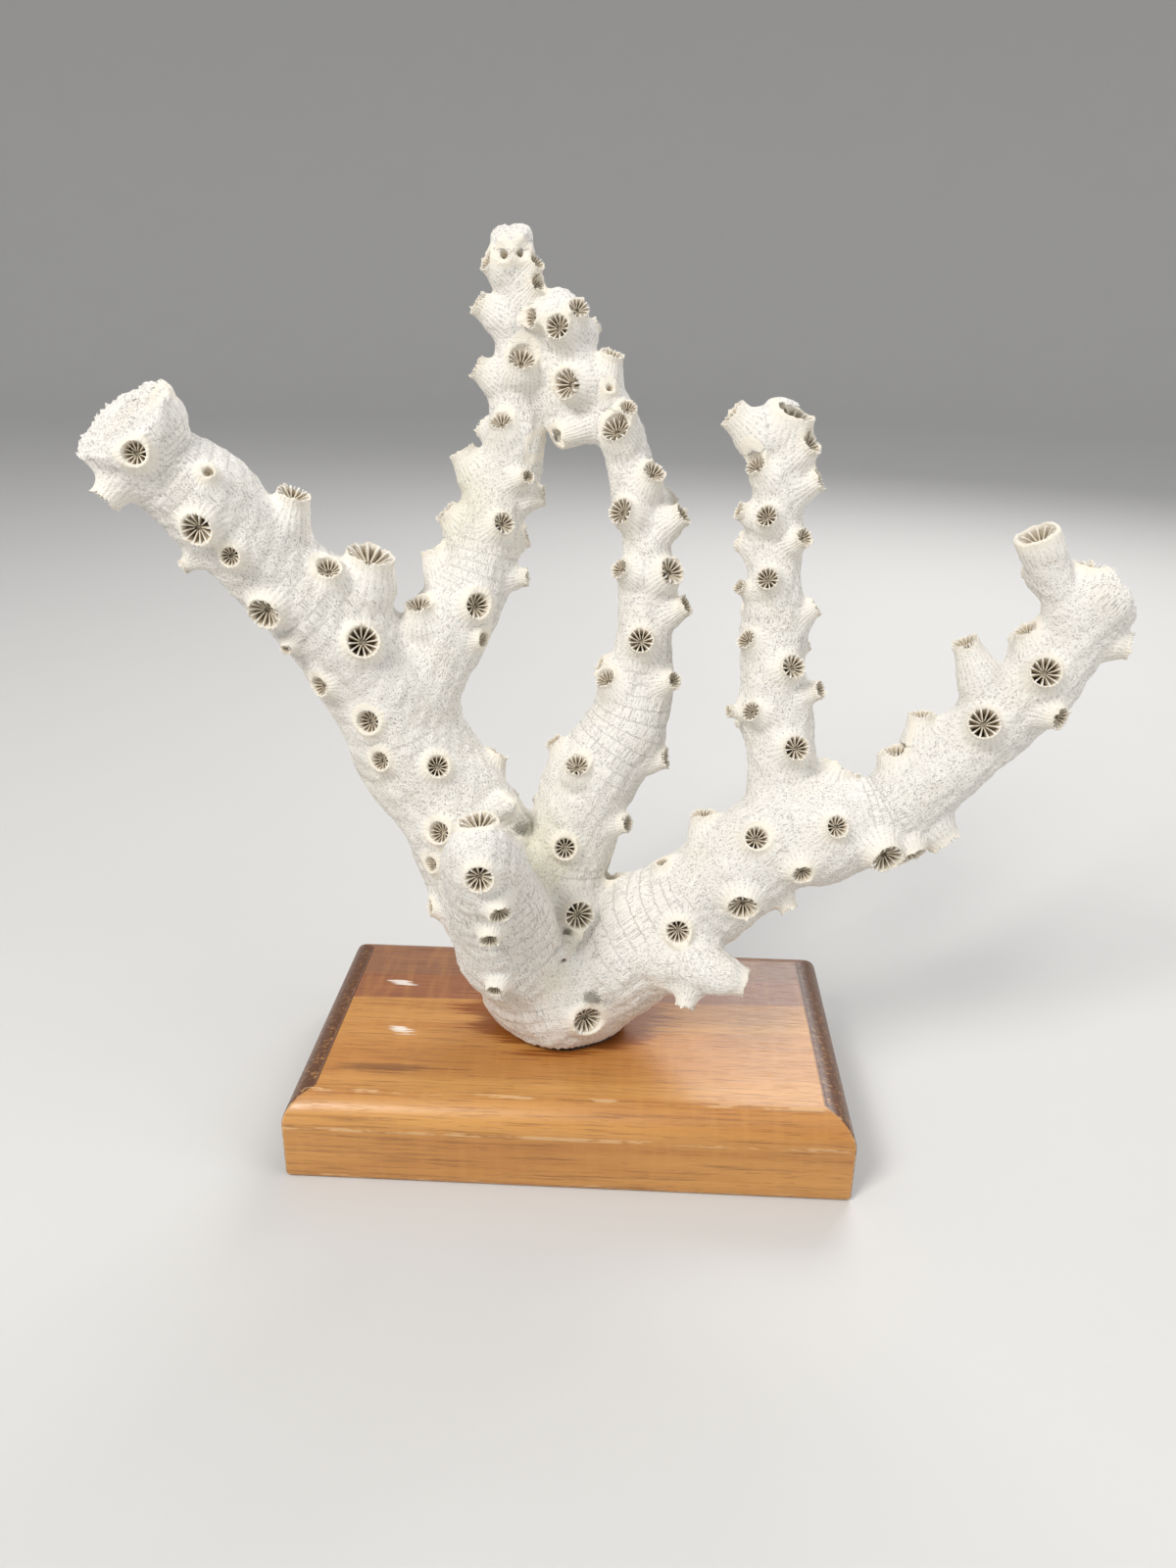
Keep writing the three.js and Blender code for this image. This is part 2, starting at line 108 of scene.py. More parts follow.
LIMBS = {
    "trunk": {
        "reach": 2.2,
        "line": [
            (-3, 3.5, 25, 12.4), (-3, 3, 29, 15.8), (-5, -0.5, 36, 19.8), (-8, -1, 46, 21.5),
            (-10, 1, 58, 19),
        ],
        "cups": [(14, 25, 4.6, 5)],
    },
    "left_limb": {
        "reach": 2.2,
        "line": [
            (-10, 0, 46, 18), (-22.5, 0, 66.5, 18), (-32.5, 3, 87, 16.3), (-44.5, 4, 105, 16),
            (-51.5, 3, 122.5, 14.6),
        ],
        "cups": [
            (28, -60, 2.7, 30, 3), (40, -30, 2.6, 30, 2), (46, 65, 2.6, 20, 3), (49, -5, 3.4, 30),
            (54, 105, 3, 30, 4), (66, 30, 3.4, 15), (75, -15, 3), (86, -10, 3.5), (86, 65, 3.1, 30),
        ],
    },
    "left_arm": {
        "reach": 3,
        "line": [
            (-51.5, 3, 122.5, 14.6), (-63, -2, 143, 14), (-77, -9, 160, 12.1), (-88.5, -16, 176.5, 12),
            (-96, -20.5, 184.5, 10), (-102, -23, 194, 12.8),
        ],
        "cups": [
            (14, -35, 3, 30), (20, 30, 4.4, 20), (27, 92, 6.3, 38, 9), (31, -35, 1.7, 10),
            (36, 60, 3.4, 40, 3), (42, -20, 4.4, 10), (52, 92, 4.2, 35, 8), (57, 0, 2.8, 20),
            (59, -70, 2, 10, 4), (67, -5, 4, 15), (72, 45, 1.8, 40), (81, 105, 2.6, 60, 8),
            (83, -60, 3.8, -10, 5), (86, 10, 3.3, 20, 1.5),
        ],
    },
    "right_limb": {
        "reach": 2.4,
        "line": [
            (1, -3, 40, 18), (19, -6, 57, 16.7), (35, -9, 71.7, 14.2), (50.5, -11, 88.5, 13.8),
            (65, -10, 93, 13.4),
        ],
        "cups": [
            (24, -115, 3, 40, 3), (41, -10, 3.6, 15), (44, -85, 2.1, 30, 3), (59, 10, 4.4, -10, 3),
            (60, -100, 3.4, 40, 6), (64, 65, 2.6, -10, 4), (70, -35, 3.5), (76, 15, 3.1, 0),
        ],
    },
    "crown_branch": {
        "reach": 4.6,
        "line": [
            (-43.5, 4, 122.5, 10.7), (-36, 8, 139.5, 11), (-29, 12, 152, 10.2), (-25, 16, 168, 8.7),
            (-19, 20, 184, 8.2), (-18, 22, 201, 6.3), (-18, 22, 216, 5), (-19, 20, 234, 4.8),
        ],
        "cups": [
            (18, -40, 3.6, 50, 6), (21, 55, 2.6, 20, 2), (28, 20, 3.8, 20, 2), (32, -85, 3.1, 45, 6),
            (37, 85, 2.6, 20), (46, 85, 2.8, 30, 4), (47, -70, 3.3, 30), (48, 25, 3.1),
            (59, 80, 2.8, 30, 5), (59, -80, 3.6, 35, 7), (62, 30, 2, 20), (72, -20, 3.2, 50),
            (74, 80, 3), (86, -75, 3.2, 30, 6), (86, 95, 3, 30, 4), (88, 15, 3.8, 50),
            (101, -75, 3.2, 35, 7), (106, 60, 2.3, 40), (112, -65, 2.6, 40, 4), (111, 65, 2.5, 40),
            (115, -15, 1.7, 40, 0.8), (115, 30, 1.6, 40, 0.8), (117, 8, 1.6, 60, 0.8),
        ],
    },
    "middle_branch": {
        "reach": 4.6,
        "line": [
            (-7, 2, 59, 15), (-3.5, 4, 78, 12.5), (3, 6, 98, 12.5), (13, 8, 115, 10.8),
            (16, 10, 134, 8.2), (17, 12, 153, 6.9), (14, 15, 173, 6.2), (7.5, 18, 191.5, 5.8),
            (-1.5, 20, 205, 5.6), (-6.5, 20, 218, 5),
        ],
        "cups": [
            (7.5, 18, 4.2, 10, 9), (24, -5, 3.5, 15, 2), (33, 60, 2.7), (43, -30, 3.4, 45),
            (44, -80, 2.6), (55, 70, 2.9, 40, 5), (70, -50, 3.1, 40), (73, 50, 2.6),
            (75, -75, 2.6, 20, 3), (83, -5, 3.5), (91, 68, 2.9, 30, 5.5), (100, 40, 3.8),
            (101, -45, 2.8), (112, 75, 3.3, 25, 6), (116, -30, 3.6), (123, 40, 3.2, 30),
            (135, 0, 3.9, 40), (139, 35, 2.5, 30), (142, -80, 2.6, 10, 8), (146, 30, 1.5, 20, 2),
            (152, -30, 4), (150, 70, 3.2, 35, 6), (165, -10, 3.3), (167, 35, 2.9, 30),
            (169, -50, 2.7, 20, 5),
        ],
    },
    "crown_bridge": {
        "reach": 2,
        "line": [(-4.5, 20, 190.5, 5), (-7.5, 21, 200, 5.5), (-11, 21, 212, 4)],
        "cups": [],
    },
    "right_upright": {
        "reach": 4.6,
        "line": [
            (56, -8, 93, 10.4), (54, -4, 108, 9.2), (50.3, 0, 129, 8.8), (49.4, 3, 149, 7.6),
            (48.5, 5, 168, 6.3), (48.5, 6, 182, 6.2), (48, 6, 193, 6),
        ],
        "cups": [
            (21, 15, 3.4, 15), (31, -35, 2.7), (32, -70, 1.8, 10), (35, 60, 2.6, 10), (42, 20, 3.3, 20),
            (48, -45, 2.7, 30), (55, 80, 2.7, 35, 5), (62, -60, 2, 20), (64, -15, 3), (74, 40, 2.6, 20),
            (79, -20, 2.9), (80, -75, 2.4, 20), (87, 75, 3.2, 30, 5.5), (90, -50, 2.9, 40),
            (95, 60, 3.3, 40), (99, -88, 4, 42, 9.5), (100, 70, 5.4, 72, 5),
        ],
    },
    "right_arm": {
        "reach": 3.8,
        "line": [
            (65, -10, 93, 13.4), (81, -9, 97.5, 11), (92, -8, 109, 10.2), (103, -7, 120, 10.2),
            (116.5, -7, 136, 9.4), (124, -7, 150, 9.3), (127, -8, 155, 9),
        ],
        "cups": [
            (1, -25, 3.1, 15), (4, -110, 5, 40, 5), (12, 20, 4.4, 10), (17, 50, 4.2, 0, 2.4),
            (23, 80, 4.8, -10, 5), (29, -95, 3.9, 45, 3), (36, -95, 3.5, 40, 7), (50, -30, 4.2, 15),
            (57, -90, 3.5, 20, 13), (63, 30, 3.1, 20, 4), (69, -25, 4, 20), (74, -90, 3.2, 30, 4),
            (83.5, 75, 3.4, 20, 4), (90, -120, 5.4, 60, 6.5),
        ],
    },
    "right_finger": {
        "reach": 4,
        "line": [(119, -8, 153, 5.6), (112.5, -9, 163, 4.9), (109, -10, 169, 4.6)],
        "cups": [(18, 120, 4.9, 88, 3)],
    },
    "front_knob": {
        "reach": 3,
        "line": [
            (-17, -12, 55, 15.4), (-20, -27, 79, 12.4), (-21, -36.5, 91, 10.2), (-21.5, -40.5, 98, 7.8),
        ],
        "cups": [
            (8, -10, 2.8, 0), (32, 0, 2.9, 10), (43, 20, 3.1, 10), (52, 5, 3.8, 30),
            (50, 180, 5, 72, 7.5),
        ],
    },
    "lower_spur": {
        "reach": 4,
        "line": [(28, -16, 57, 10.6), (35, -24, 57.5, 7), (41, -28, 58, 4.8)],
        "cups": [(9, 54, 2.8, 10, 4), (16, 138, 4, 70, 6)],
    },
}
cups_by_hand = sum(len(limb["cups"]) for limb in LIMBS.values())
print(len(LIMBS), "limbs with", cups_by_hand, "cups placed by hand")


# %% Lines as numbers
STEPS_PER_SPAN = 24
FRONT = np.array([0.0, -1.0, 0.0])


def catmull_rom(points):
    """Samples (x, y, z, radius) along a smooth line through the points."""
    points = np.array(points, float)
    ends = np.vstack([2 * points[0] - points[1], points, 2 * points[-1] - points[-2]])
    t = np.linspace(0, 1, STEPS_PER_SPAN, endpoint=False)[:, None]
    spans = []
    for a, b, c, d in zip(ends, ends[1:], ends[2:], ends[3:]):
        bend = 2 * a - 5 * b + 4 * c - d
        spans.append(0.5 * (2 * b + (c - a) * t + bend * t**2 + (3 * b - a - 3 * c + d) * t**3))
    return np.vstack(spans + [points[-1:]])


def unit(vectors):
    return vectors / np.linalg.norm(vectors, axis=-1, keepdims=True)


class Limb:
    """A limb's axis: its samples, the distance along it, and the directions round it."""

    def __init__(self, name, spec):
        self.name, self.reach = name, spec["reach"]
        samples = catmull_rom(spec["line"])
        self.points, self.radii = samples[:, :3], samples[:, 3]
        steps = np.linalg.norm(np.diff(self.points, axis=0), axis=1)
        self.distances = np.concatenate([[0], np.cumsum(steps)])
        self.length = self.distances[-1]
        self.along = unit(np.gradient(self.points, self.distances, axis=0))
        self.front = unit(FRONT - self.along * (self.along @ FRONT)[:, None])
        self.side = np.cross(self.along, self.front)

    def at(self, distance, values):
        """A sampled value, such as the radius, at a distance along the limb."""
        values = values.reshape(len(self.distances), -1)
        return np.array([np.interp(distance, self.distances, column) for column in values.T])


limbs = [Limb(name, spec) for name, spec in LIMBS.items()]
print({limb.name: round(float(limb.length)) for limb in limbs}, "mm long")


# %% [markdown]
# ## The cups on the far side
#
# The cups at the front are placed one by one, as on the real piece. Those at the back can't be
# seen there, so one rule places them: even steps along the limb, with bearings that swing about
# the back by the golden ratio, which never repeats and never lines two up. A cup is dropped where
# it would stand inside a neighbouring limb or on top of another cup.

# %% Every cup as a place, a direction and a size
CALICE_DEEP = 1.2
THIN_WALL, THICK_WALL = 0.45, 0.75
ENDS_LIMB_LEAN = 60
ROOT_SINK = 1.2
RIM_GAP = 0.8
BURIED = -1.0
BACK_CLEARANCE = 1.5


class Cup:
    """A cup stands on a root point on the limb and opens along a direction."""

    def __init__(self, limb, distance, bearing, radius, lean=USUAL_LEAN, reach=None):
        out = limb.at(distance, limb.front) * math.cos(math.radians(bearing))
        out = unit(out + limb.at(distance, limb.side) * math.sin(math.radians(bearing)))
        along = unit(limb.at(distance, limb.along))
        tilt = math.radians(lean)
        self.limb, self.radius = limb, radius
        self.reach = limb.reach if reach is None else reach
        self.direction = math.cos(tilt) * out + math.sin(tilt) * along
        limb_radius = limb.at(distance, limb.radii)[0]
        self.ends_limb = lean >= ENDS_LIMB_LEAN
        sink = limb_radius * (1 - math.cos(tilt))
        sink = sink if self.ends_limb else min(sink, ROOT_SINK)
        self.root = limb.at(distance, limb.points) + out * (limb_radius - sink)
        self.rim = self.root + self.direction * self.reach
        self.wall = float(np.clip(0.85 - 0.09 * self.reach, THIN_WALL, THICK_WALL))
        self.mouth = radius - self.wall
        self.depth = CALICE_DEEP * radius + 0.6
        self.across = unit(np.cross(self.direction, [0.3, 0.5, 0.8]))
        self.up = np.cross(self.direction, self.across)


def back_cups(limb):
    count = int((limb.length - BACK_SPACING / 2) // BACK_SPACING)
    for i in range(1, count + 1):
        swing = 2 * ((i * GOLDEN) % 1) - 1
        radius = BACK_RADIUS + 0.7 * math.sin(2.4 * i)
        yield Cup(limb, BACK_SPACING * i, 180 + BACK_SWING * swing, radius)


def inside_another(cup, margin):
    """Whether the cup's rim is deeper than a margin in a limb that isn't its own."""
    for limb in limbs:
        gaps = np.linalg.norm(limb.points - cup.rim, axis=1) - limb.radii
        if limb is not cup.limb and gaps.min() < margin:
            return True
    return False


def stands_clear(cup, others):
    """Whether the cup's rim keeps off the rims of the others."""
    for other in others:
        if np.linalg.norm(cup.rim - other.rim) <= cup.radius + other.radius + RIM_GAP:
            return False
    return True


def choose_cups():
    chosen = []
    for limb in limbs:
        placed = [Cup(limb, *row) for row in LIMBS[limb.name]["cups"]]
        chosen += [cup for cup in placed if not inside_another(cup, BURIED)]
    for limb in limbs:
        for cup in back_cups(limb):
            if stands_clear(cup, chosen) and not inside_another(cup, BACK_CLEARANCE):
                chosen.append(cup)
    return chosen


cups = choose_cups()
print(len(cups), "cups in all")


# %% [markdown]
# ## One skin over everything
#
# The real skeleton has no seams: a cup flows into its limb and a limb into the next with a soft
# hollow between. Joining separate tubes with booleans would leave a hard crease at every fork. So
# the whole coral is first written as a field of distances: each point of a fine grid holds how far
# it is from the coral, negative inside. Two shapes join by taking the smaller distance, with a
# smooth minimum that fills the corner between them. Where the field is zero is the skin, and
# OpenVDB, the volume library inside Blender, turns that surface into a mesh.

# %% The grid and the shapes' distances
VOXEL = 0.5
MARGIN = 7.0
BAND = 4.0
LIMB_BLEND = 3.6
CUP_BLEND = 2.8

coral_boxes = [node_box(name) for name in LIMBS]
grid_low = np.min([low for low, high in coral_boxes], axis=0) - MARGIN
grid_high = np.max([high for low, high in coral_boxes], axis=0) + MARGIN
grid_shape = np.ceil((grid_high - grid_low) / VOXEL).astype(int) + 1
field = np.full(grid_shape, 2 * BAND, np.float32)
print("grid of", "x".join(map(str, grid_shape)), "points,", VOXEL, "mm apart")


def grid_window(low, high):
    """The slices of the grid between two corners, and the points' x, y and z there."""
    first = np.clip(np.floor((low - grid_low) / VOXEL).astype(int), 0, grid_shape)
    last = np.clip(np.ceil((high - grid_low) / VOXEL).astype(int) + 1, 0, grid_shape)
    window = tuple(slice(a, b) for a, b in zip(first, last))
    axes = [(grid_low[k] + VOXEL * np.arange(first[k], last[k])).astype(np.float32) for k in range(3)]
    return window, np.meshgrid(*axes, indexing="ij", sparse=True)


def smooth_min(a, b, blend):
    nearness = np.maximum(blend - np.abs(a - b), 0) / blend
    return np.minimum(a, b) - nearness**2 * blend / 4


def tapered_rod(x, y, z, a, b, radius_a, radius_b):
    """Distance to a rod from a to b with round ends, a different radius at each."""
    axis = (b - a).astype(np.float32)
    px, py, pz = x - a[0], y - a[1], z - a[2]
    t = np.clip((px * axis[0] + py * axis[1] + pz * axis[2]) / (axis @ axis), 0, 1)
    px, py, pz = px - t * axis[0], py - t * axis[1], pz - t * axis[2]
    return np.sqrt(px * px + py * py + pz * pz) - (radius_a + t * (radius_b - radius_a))


def lumps(x, y, z, phase):
    """Slow swellings, as a limb has where it grew faster."""
    wave = np.sin(0.31 * x + 1.7 * phase) * np.sin(0.27 * z + phase)
    wave = wave + np.sin(0.35 * y + 0.22 * z + 2.3 * phase)
    ripple = np.sin(0.83 * x + 0.6 * y + phase) * np.sin(0.71 * z - 0.5 * y + 2 * phase)
    return 0.35 * wave + 0.22 * ripple


# %% Limbs into the field
ROD_SAMPLES = 4


def limb_distance(limb, number):
    reach = limb.radii.max() + BAND + 2
    low, high = limb.points.min(axis=0) - reach, limb.points.max(axis=0) + reach
    window, (x, y, z) = grid_window(low, high)
    distance = np.full(field[window].shape, 2 * BAND, np.float32)
    stations = list(range(0, len(limb.points) - 1, ROD_SAMPLES)) + [len(limb.points) - 1]
    for i, j in zip(stations, stations[1:]):
        a, b = limb.points[i], limb.points[j]
        near = max(limb.radii[i], limb.radii[j]) + BAND
        part, axes = grid_window(np.minimum(a, b) - near, np.maximum(a, b) + near)
        local = tuple(slice(p.start - w.start, p.stop - w.start) for p, w in zip(part, window))
        rod = tapered_rod(*axes, a, b, limb.radii[i], limb.radii[j])
        distance[local] = np.minimum(distance[local], rod)
    distance += lumps(x, y, z, number).astype(np.float32)
    return window, distance


for number, limb in enumerate(limbs):
    window, distance = limb_distance(limb, number)
    field[window] = smooth_min(field[window], distance, LIMB_BLEND)
print("limbs in the field:", int((field < 0).sum() * VOXEL**3 / 1000), "cm3 inside")


# %% Cups into the field
WALL_BELOW_ROOT = 5.0
LIP_TURNS_OUT = 0.45
MOUTH_NARROWS = 0.28
LIP_HEIGHT = 0.8
HOLLOW_ABOVE_RIM = 1.6
COLUMN_RADIUS = 0.27
COLUMN_BELOW_RIM = 0.62


def cup_coordinates(cup, x, y, z):
    """Height along the cup's direction, distance from its axis and the angle round it."""
    px, py, pz = x - cup.root[0], y - cup.root[1], z - cup.root[2]
    height = px * cup.direction[0] + py * cup.direction[1] + pz * cup.direction[2]
    sideways = px * cup.across[0] + py * cup.across[1] + pz * cup.across[2]
    upwards = px * cup.up[0] + py * cup.up[1] + pz * cup.up[2]
    return height, np.sqrt(sideways**2 + upwards**2), np.arctan2(upwards, sideways)


def rim_height(cup, number, angle):
    """The rim's height, uneven where it is chipped, with a notch in every third cup."""
    chips = 0.16 * np.sin(3 * angle + number) + 0.14 * np.sin(7 * angle + 2.1 * number)
    chips = chips + 0.08 * np.sin(12 * angle + 0.7 * number)
    notch = np.maximum(np.sin(angle + 1.9 * number), 0) ** 8 if number % 3 == 0 else 0
    return cup.reach + (chips - 0.7 * notch) * min(1.6, 0.5 + cup.reach / 4)


def cup_wall_distance(cup, number, height, across, angle):
    """A tube that spreads where it meets its limb and turns out a little at its lip."""
    lift = np.clip(height / cup.reach, 0, 1.1)
    root = 0 if cup.ends_limb else 0.05 * cup.radius + 0.22 * cup.reach
    turn_out = LIP_TURNS_OUT * (1 - lift**4) * min(1, cup.reach / 4)
    flare = root * (1 - lift) ** 2 * (1 + 2 * lift) - turn_out
    tuck = 0.1 * np.minimum(height, 0) ** 2
    side = across - (cup.radius + flare - tuck)
    ends = np.maximum(height - rim_height(cup, number, angle), -height - WALL_BELOW_ROOT)
    return np.maximum(side, ends)


def calice_distance(cup, height, across):
    """The hollow: widest at the lip, which it thins to an edge, and round at the bottom."""
    below = np.maximum(cup.reach - height, 0)
    mouth = cup.mouth - MOUTH_NARROWS * (1 - np.exp(-below / LIP_HEIGHT))
    return (np.sqrt((across / mouth) ** 2 + (below / cup.depth) ** 2) - 1) * mouth


def column_distance(cup, height, across):
    """The spongy column in the middle of a calice, where its septa meet."""
    top = cup.reach - COLUMN_BELOW_RIM * cup.radius
    return np.maximum(across - COLUMN_RADIUS * cup.radius, height - top + 0.35 * across)


def cups_in_grid():
    """Each cup, its window of the grid, and where the window's points are about the cup."""
    for cup in cups:
        reach = cup.radius + BAND
        ends = np.array([cup.root - WALL_BELOW_ROOT * cup.direction, cup.rim])
        window, axes = grid_window(ends.min(axis=0) - reach, ends.max(axis=0) + reach)
        yield cup, window, *cup_coordinates(cup, *axes)


for number, (cup, window, height, across, angle) in enumerate(cups_in_grid()):
    wall = cup_wall_distance(cup, number, height, across, angle).astype(np.float32)
    field[window] = smooth_min(field[window], wall, CUP_BLEND)
for cup, window, height, across, angle in cups_in_grid():
    over_rim = cup.reach + HOLLOW_ABOVE_RIM - height
    hollow = np.minimum(-calice_distance(cup, height, across), over_rim)
    hollow = np.minimum(hollow, BAND).astype(np.float32)
    field[window] = np.maximum(field[window], hollow)
for cup, window, height, across, angle in cups_in_grid():
    in_calice = (across < cup.mouth) & (height < cup.reach) & (height > cup.reach - cup.depth - 2)
    column = np.where(in_calice, column_distance(cup, height, across), 2 * BAND).astype(np.float32)
    field[window] = np.minimum(field[window], column)
print("cups in the field:", int((field < 0).sum() * VOXEL**3 / 1000), "cm3 inside")


# %% [markdown]
# ## Breaks, ridges and a pinhole
#
# Three limbs end where the coral once snapped. A break is a plane that takes away what lies beyond
# it, near its centre only, and it is crumbly: crossed waves make it rough, and it sinks a little
# inside its lip. Low on the trunk a thin growth has left a scar, a small ridge with a pinhole
# beside it. Two lumps in the crevice behind the front knob are crumbled cups. Rods joined to the
# field make the ridge and the lumps, and a rod taken out of it makes the pinhole.

# %% Breaks, ridges and pinhole
# Each break: centre, outward direction, how far it acts, how deep it sinks, roughness.
BREAKS = [
    ((-102, -22.8, 195.0), (-0.42, -0.46, 0.78), 24, 1.8, 1.5),
    ((130.6, -8, 156.5), (0.82, 0.10, 0.56), 13, 0.2, 0.6),
    ((-19, 20, 236.4), (-0.1, -0.45, 0.89), 9, 0.7, 0.8),
]
# Each ridge: its two ends and the radius at each. Each pinhole: centre, radius and depth.
RIDGES = [
    ((1.2, -18.6, 63.0), (-3.4, -20.4, 57.6), 1.5, 1.0),
    ((-20.5, -6, 95), (-15.5, -4, 89), 3.0, 2.4),
    ((-24, -8, 93), (-18, -8, 96), 2.0, 2.2),
]
PINHOLES = [((-2.7, -20.5, 56.5), 0.8, 3.0)]
RIDGE_BLEND = 2.4
ROUND_ABOUT = 6


def crumbs(x, y, z):
    """Rough values for a broken face, made of waves that never line up."""
    coarse = np.sin(2.1 * x + 1.3 * y) * np.sin(1.9 * z + 0.8 * x) + np.sin(1.7 * y - 1.2 * z)
    fine = np.sin(4.3 * x - 2.9 * z) * np.sin(3.9 * y + 3.1 * x)
    return 0.35 * coarse + 0.30 * fine


for centre, direction, acts, sink, rough in BREAKS:
    centre, direction = np.array(centre, float), unit(np.array(direction))
    window, (x, y, z) = grid_window(centre - acts, centre + acts)
    px, py, pz = x - centre[0], y - centre[1], z - centre[2]
    above = px * direction[0] + py * direction[1] + pz * direction[2]
    gap = np.sqrt(px**2 + py**2 + pz**2)
    sunk = sink * np.exp(-((gap / (0.36 * acts)) ** 4))
    cut = above + sunk + rough * crumbs(x, y, z) - 40 * np.maximum(gap / acts - 0.8, 0)
    field[window] = np.maximum(field[window], cut.astype(np.float32))
for start, end, radius_a, radius_b in RIDGES:
    start, end = np.array(start), np.array(end)
    low, high = np.minimum(start, end) - ROUND_ABOUT, np.maximum(start, end) + ROUND_ABOUT
    window, (x, y, z) = grid_window(low, high)
    rod = tapered_rod(x, y, z, start, end, radius_a, radius_b)
    field[window] = smooth_min(field[window], rod.astype(np.float32), RIDGE_BLEND)
for centre, radius, depth in PINHOLES:
    centre = np.array(centre)
    window, (x, y, z) = grid_window(centre - ROUND_ABOUT, centre + ROUND_ABOUT)
    rod = tapered_rod(x, y, z, centre - (0, 3, 0), centre + (0, depth, 0), radius, radius)
    field[window] = np.maximum(field[window], -rod.astype(np.float32))
print(len(BREAKS), "breaks and", len(RIDGES), "ridges made")


# %% [markdown]
# ## The sawn foot, and the mesh
#
# The coral was sawn flat where it grew from the rock. Taking the larger of the field and the height
# below the cut removes everything under it. The cut's edge is scalloped by the ribs. OpenVDB then
# lays one quad through each grid cell that the skin crosses. Those quads wobble by part of a voxel,
# so each corner is slid down the field's slope until it lies on the zero.

# %% Cut, mesh and settle onto the skin
FOOT_PLACE = (-3.0, 2.0)
FOOT_RIBS = 62
FOOT_FLAT_RADIUS = 15.2
FOOT_ABOVE_BLOCK = 0.35
SCALLOP_LIFT = 0.35
foot_height = node_box("wood_block")[1][2] + FOOT_ABOVE_BLOCK
near_foot = slice(0, int((foot_height + 4 - grid_low[2]) / VOXEL))
lines = [grid_low[k] + VOXEL * np.arange(grid_shape[k], dtype=np.float32) for k in range(3)]
foot_x = lines[0][:, None, None] - FOOT_PLACE[0]
foot_y = lines[1][None, :, None] - FOOT_PLACE[1]
foot_z = lines[2][None, None, near_foot]
foot_angle = np.arctan2(foot_y, foot_x)
scallop = 0.3 * np.sin(FOOT_RIBS * foot_angle + 2 * np.sin(5 * foot_angle))
bevel = np.maximum(np.hypot(foot_x, foot_y) - FOOT_FLAT_RADIUS, 0) * 0.25
cut = foot_height + (SCALLOP_LIFT + scallop) * (bevel > 0) + bevel - foot_z
field[:, :, near_foot] = np.maximum(field[:, :, near_foot], cut)


MOST_SLIDE = 0.4 * VOXEL


def mesh_of_field():
    grid = openvdb.FloatGrid(2 * BAND)
    grid.copyFromArray(field, tolerance=0)
    corners, quads = grid.convertToQuads(0.0)
    corners = grid_low + VOXEL * corners.astype(np.float64)
    a, b, c = corners[quads[:, 0]], corners[quads[:, 1]], corners[quads[:, 2]]
    outward = np.einsum("ij,ij->i", a, np.cross(b, c)).sum() > 0
    return corners, quads.astype(np.int64) if outward else quads[:, ::-1].astype(np.int64)


def sample_field(points):
    """The field between its grid points, by linear steps along each axis."""
    place = (points - grid_low) / VOXEL
    base = np.clip(np.floor(place).astype(int), 0, np.array(field.shape) - 2)
    fx, fy, fz = (place - base).T
    i, j, k = base.T
    value = 0
    for di, wx in ((0, 1 - fx), (1, fx)):
        for dj, wy in ((0, 1 - fy), (1, fy)):
            for dk, wz in ((0, 1 - fz), (1, fz)):
                value = value + field[i + di, j + dj, k + dk] * wx * wy * wz
    return value


def settle(points):
    """Points slid twice down the field's slope, by at most MOST_SLIDE each time."""
    for _ in range(2):
        slope = np.empty_like(points)
        for k in range(3):
            step = np.zeros(3)
            step[k] = VOXEL / 2
            slope[:, k] = (sample_field(points + step) - sample_field(points - step)) / VOXEL
        steepness = np.maximum((slope**2).sum(axis=1), 0.25)
        shift = np.clip(sample_field(points) / steepness, -MOST_SLIDE, MOST_SLIDE)
        points = points - shift[:, None] * slope
    return points


skin, quads = mesh_of_field()
skin = settle(skin)
print("skin of", len(skin), "corners and", len(quads), "quads")


# %% Smooth directions over the whole skin
def corner_normals(points, faces):
    """Each corner's outward direction, the mean of its faces' directions."""
    a, b, c, d = (points[faces[:, k]] for k in range(4))
    face_normals = np.cross(c - a, d - b)
    normals = np.zeros_like(points)
    for column in range(faces.shape[1]):
        for axis in range(3):
            normals[:, axis] += np.bincount(faces[:, column], face_normals[:, axis], len(points))
    return normals / np.maximum(np.linalg.norm(normals, axis=1, keepdims=True), 1e-9)


smooth_normals = corner_normals(skin, quads)
print("smooth directions for", len(smooth_normals), "corners")


# %% [markdown]
# ## What each point of the skin belongs to
#
# The coral would come apart at its forks, so each point goes to the limb whose own surface is
# nearest. The same measuring gives three things that the finish needs and that no texture
# coordinate knows: where the point is round and along its limb, because the skeleton's fine ribs
# (costae) run along the limb; where it is round the nearest cup, because the ribs turn and climb
# the cup's wall; and how near it is to a rim or how deep in a calice, because rims are cream,
# calices tan, and deeper down a calice is darkened to brown and near black as painted shade.

# %% Places on the limbs
def nearest_on_limb(limb, points):
    """Distance to the limb's own surface, and the point's place round and along the limb."""
    best = np.full(len(points), 1e9)
    place = np.zeros((len(points), 3))
    stations = list(range(0, len(limb.points) - 1, ROD_SAMPLES)) + [len(limb.points) - 1]
    for i, j in zip(stations, stations[1:]):
        a, axis = limb.points[i], limb.points[j] - limb.points[i]
        t = np.clip((points - a) @ axis / (axis @ axis), 0, 1)
        offset = points - a - t[:, None] * axis
        gap = np.linalg.norm(offset, axis=1)
        distance = gap - (limb.radii[i] + t * (limb.radii[j] - limb.radii[i]))
        nearer = distance < best
        best[nearer] = distance[nearer]
        ahead = limb.distances[i] + t * (limb.distances[j] - limb.distances[i])
        place[nearer, 0] = (offset @ limb.front[i])[nearer]
        place[nearer, 1] = (offset @ limb.side[i])[nearer]
        place[nearer, 2] = ahead[nearer]
    return best, place


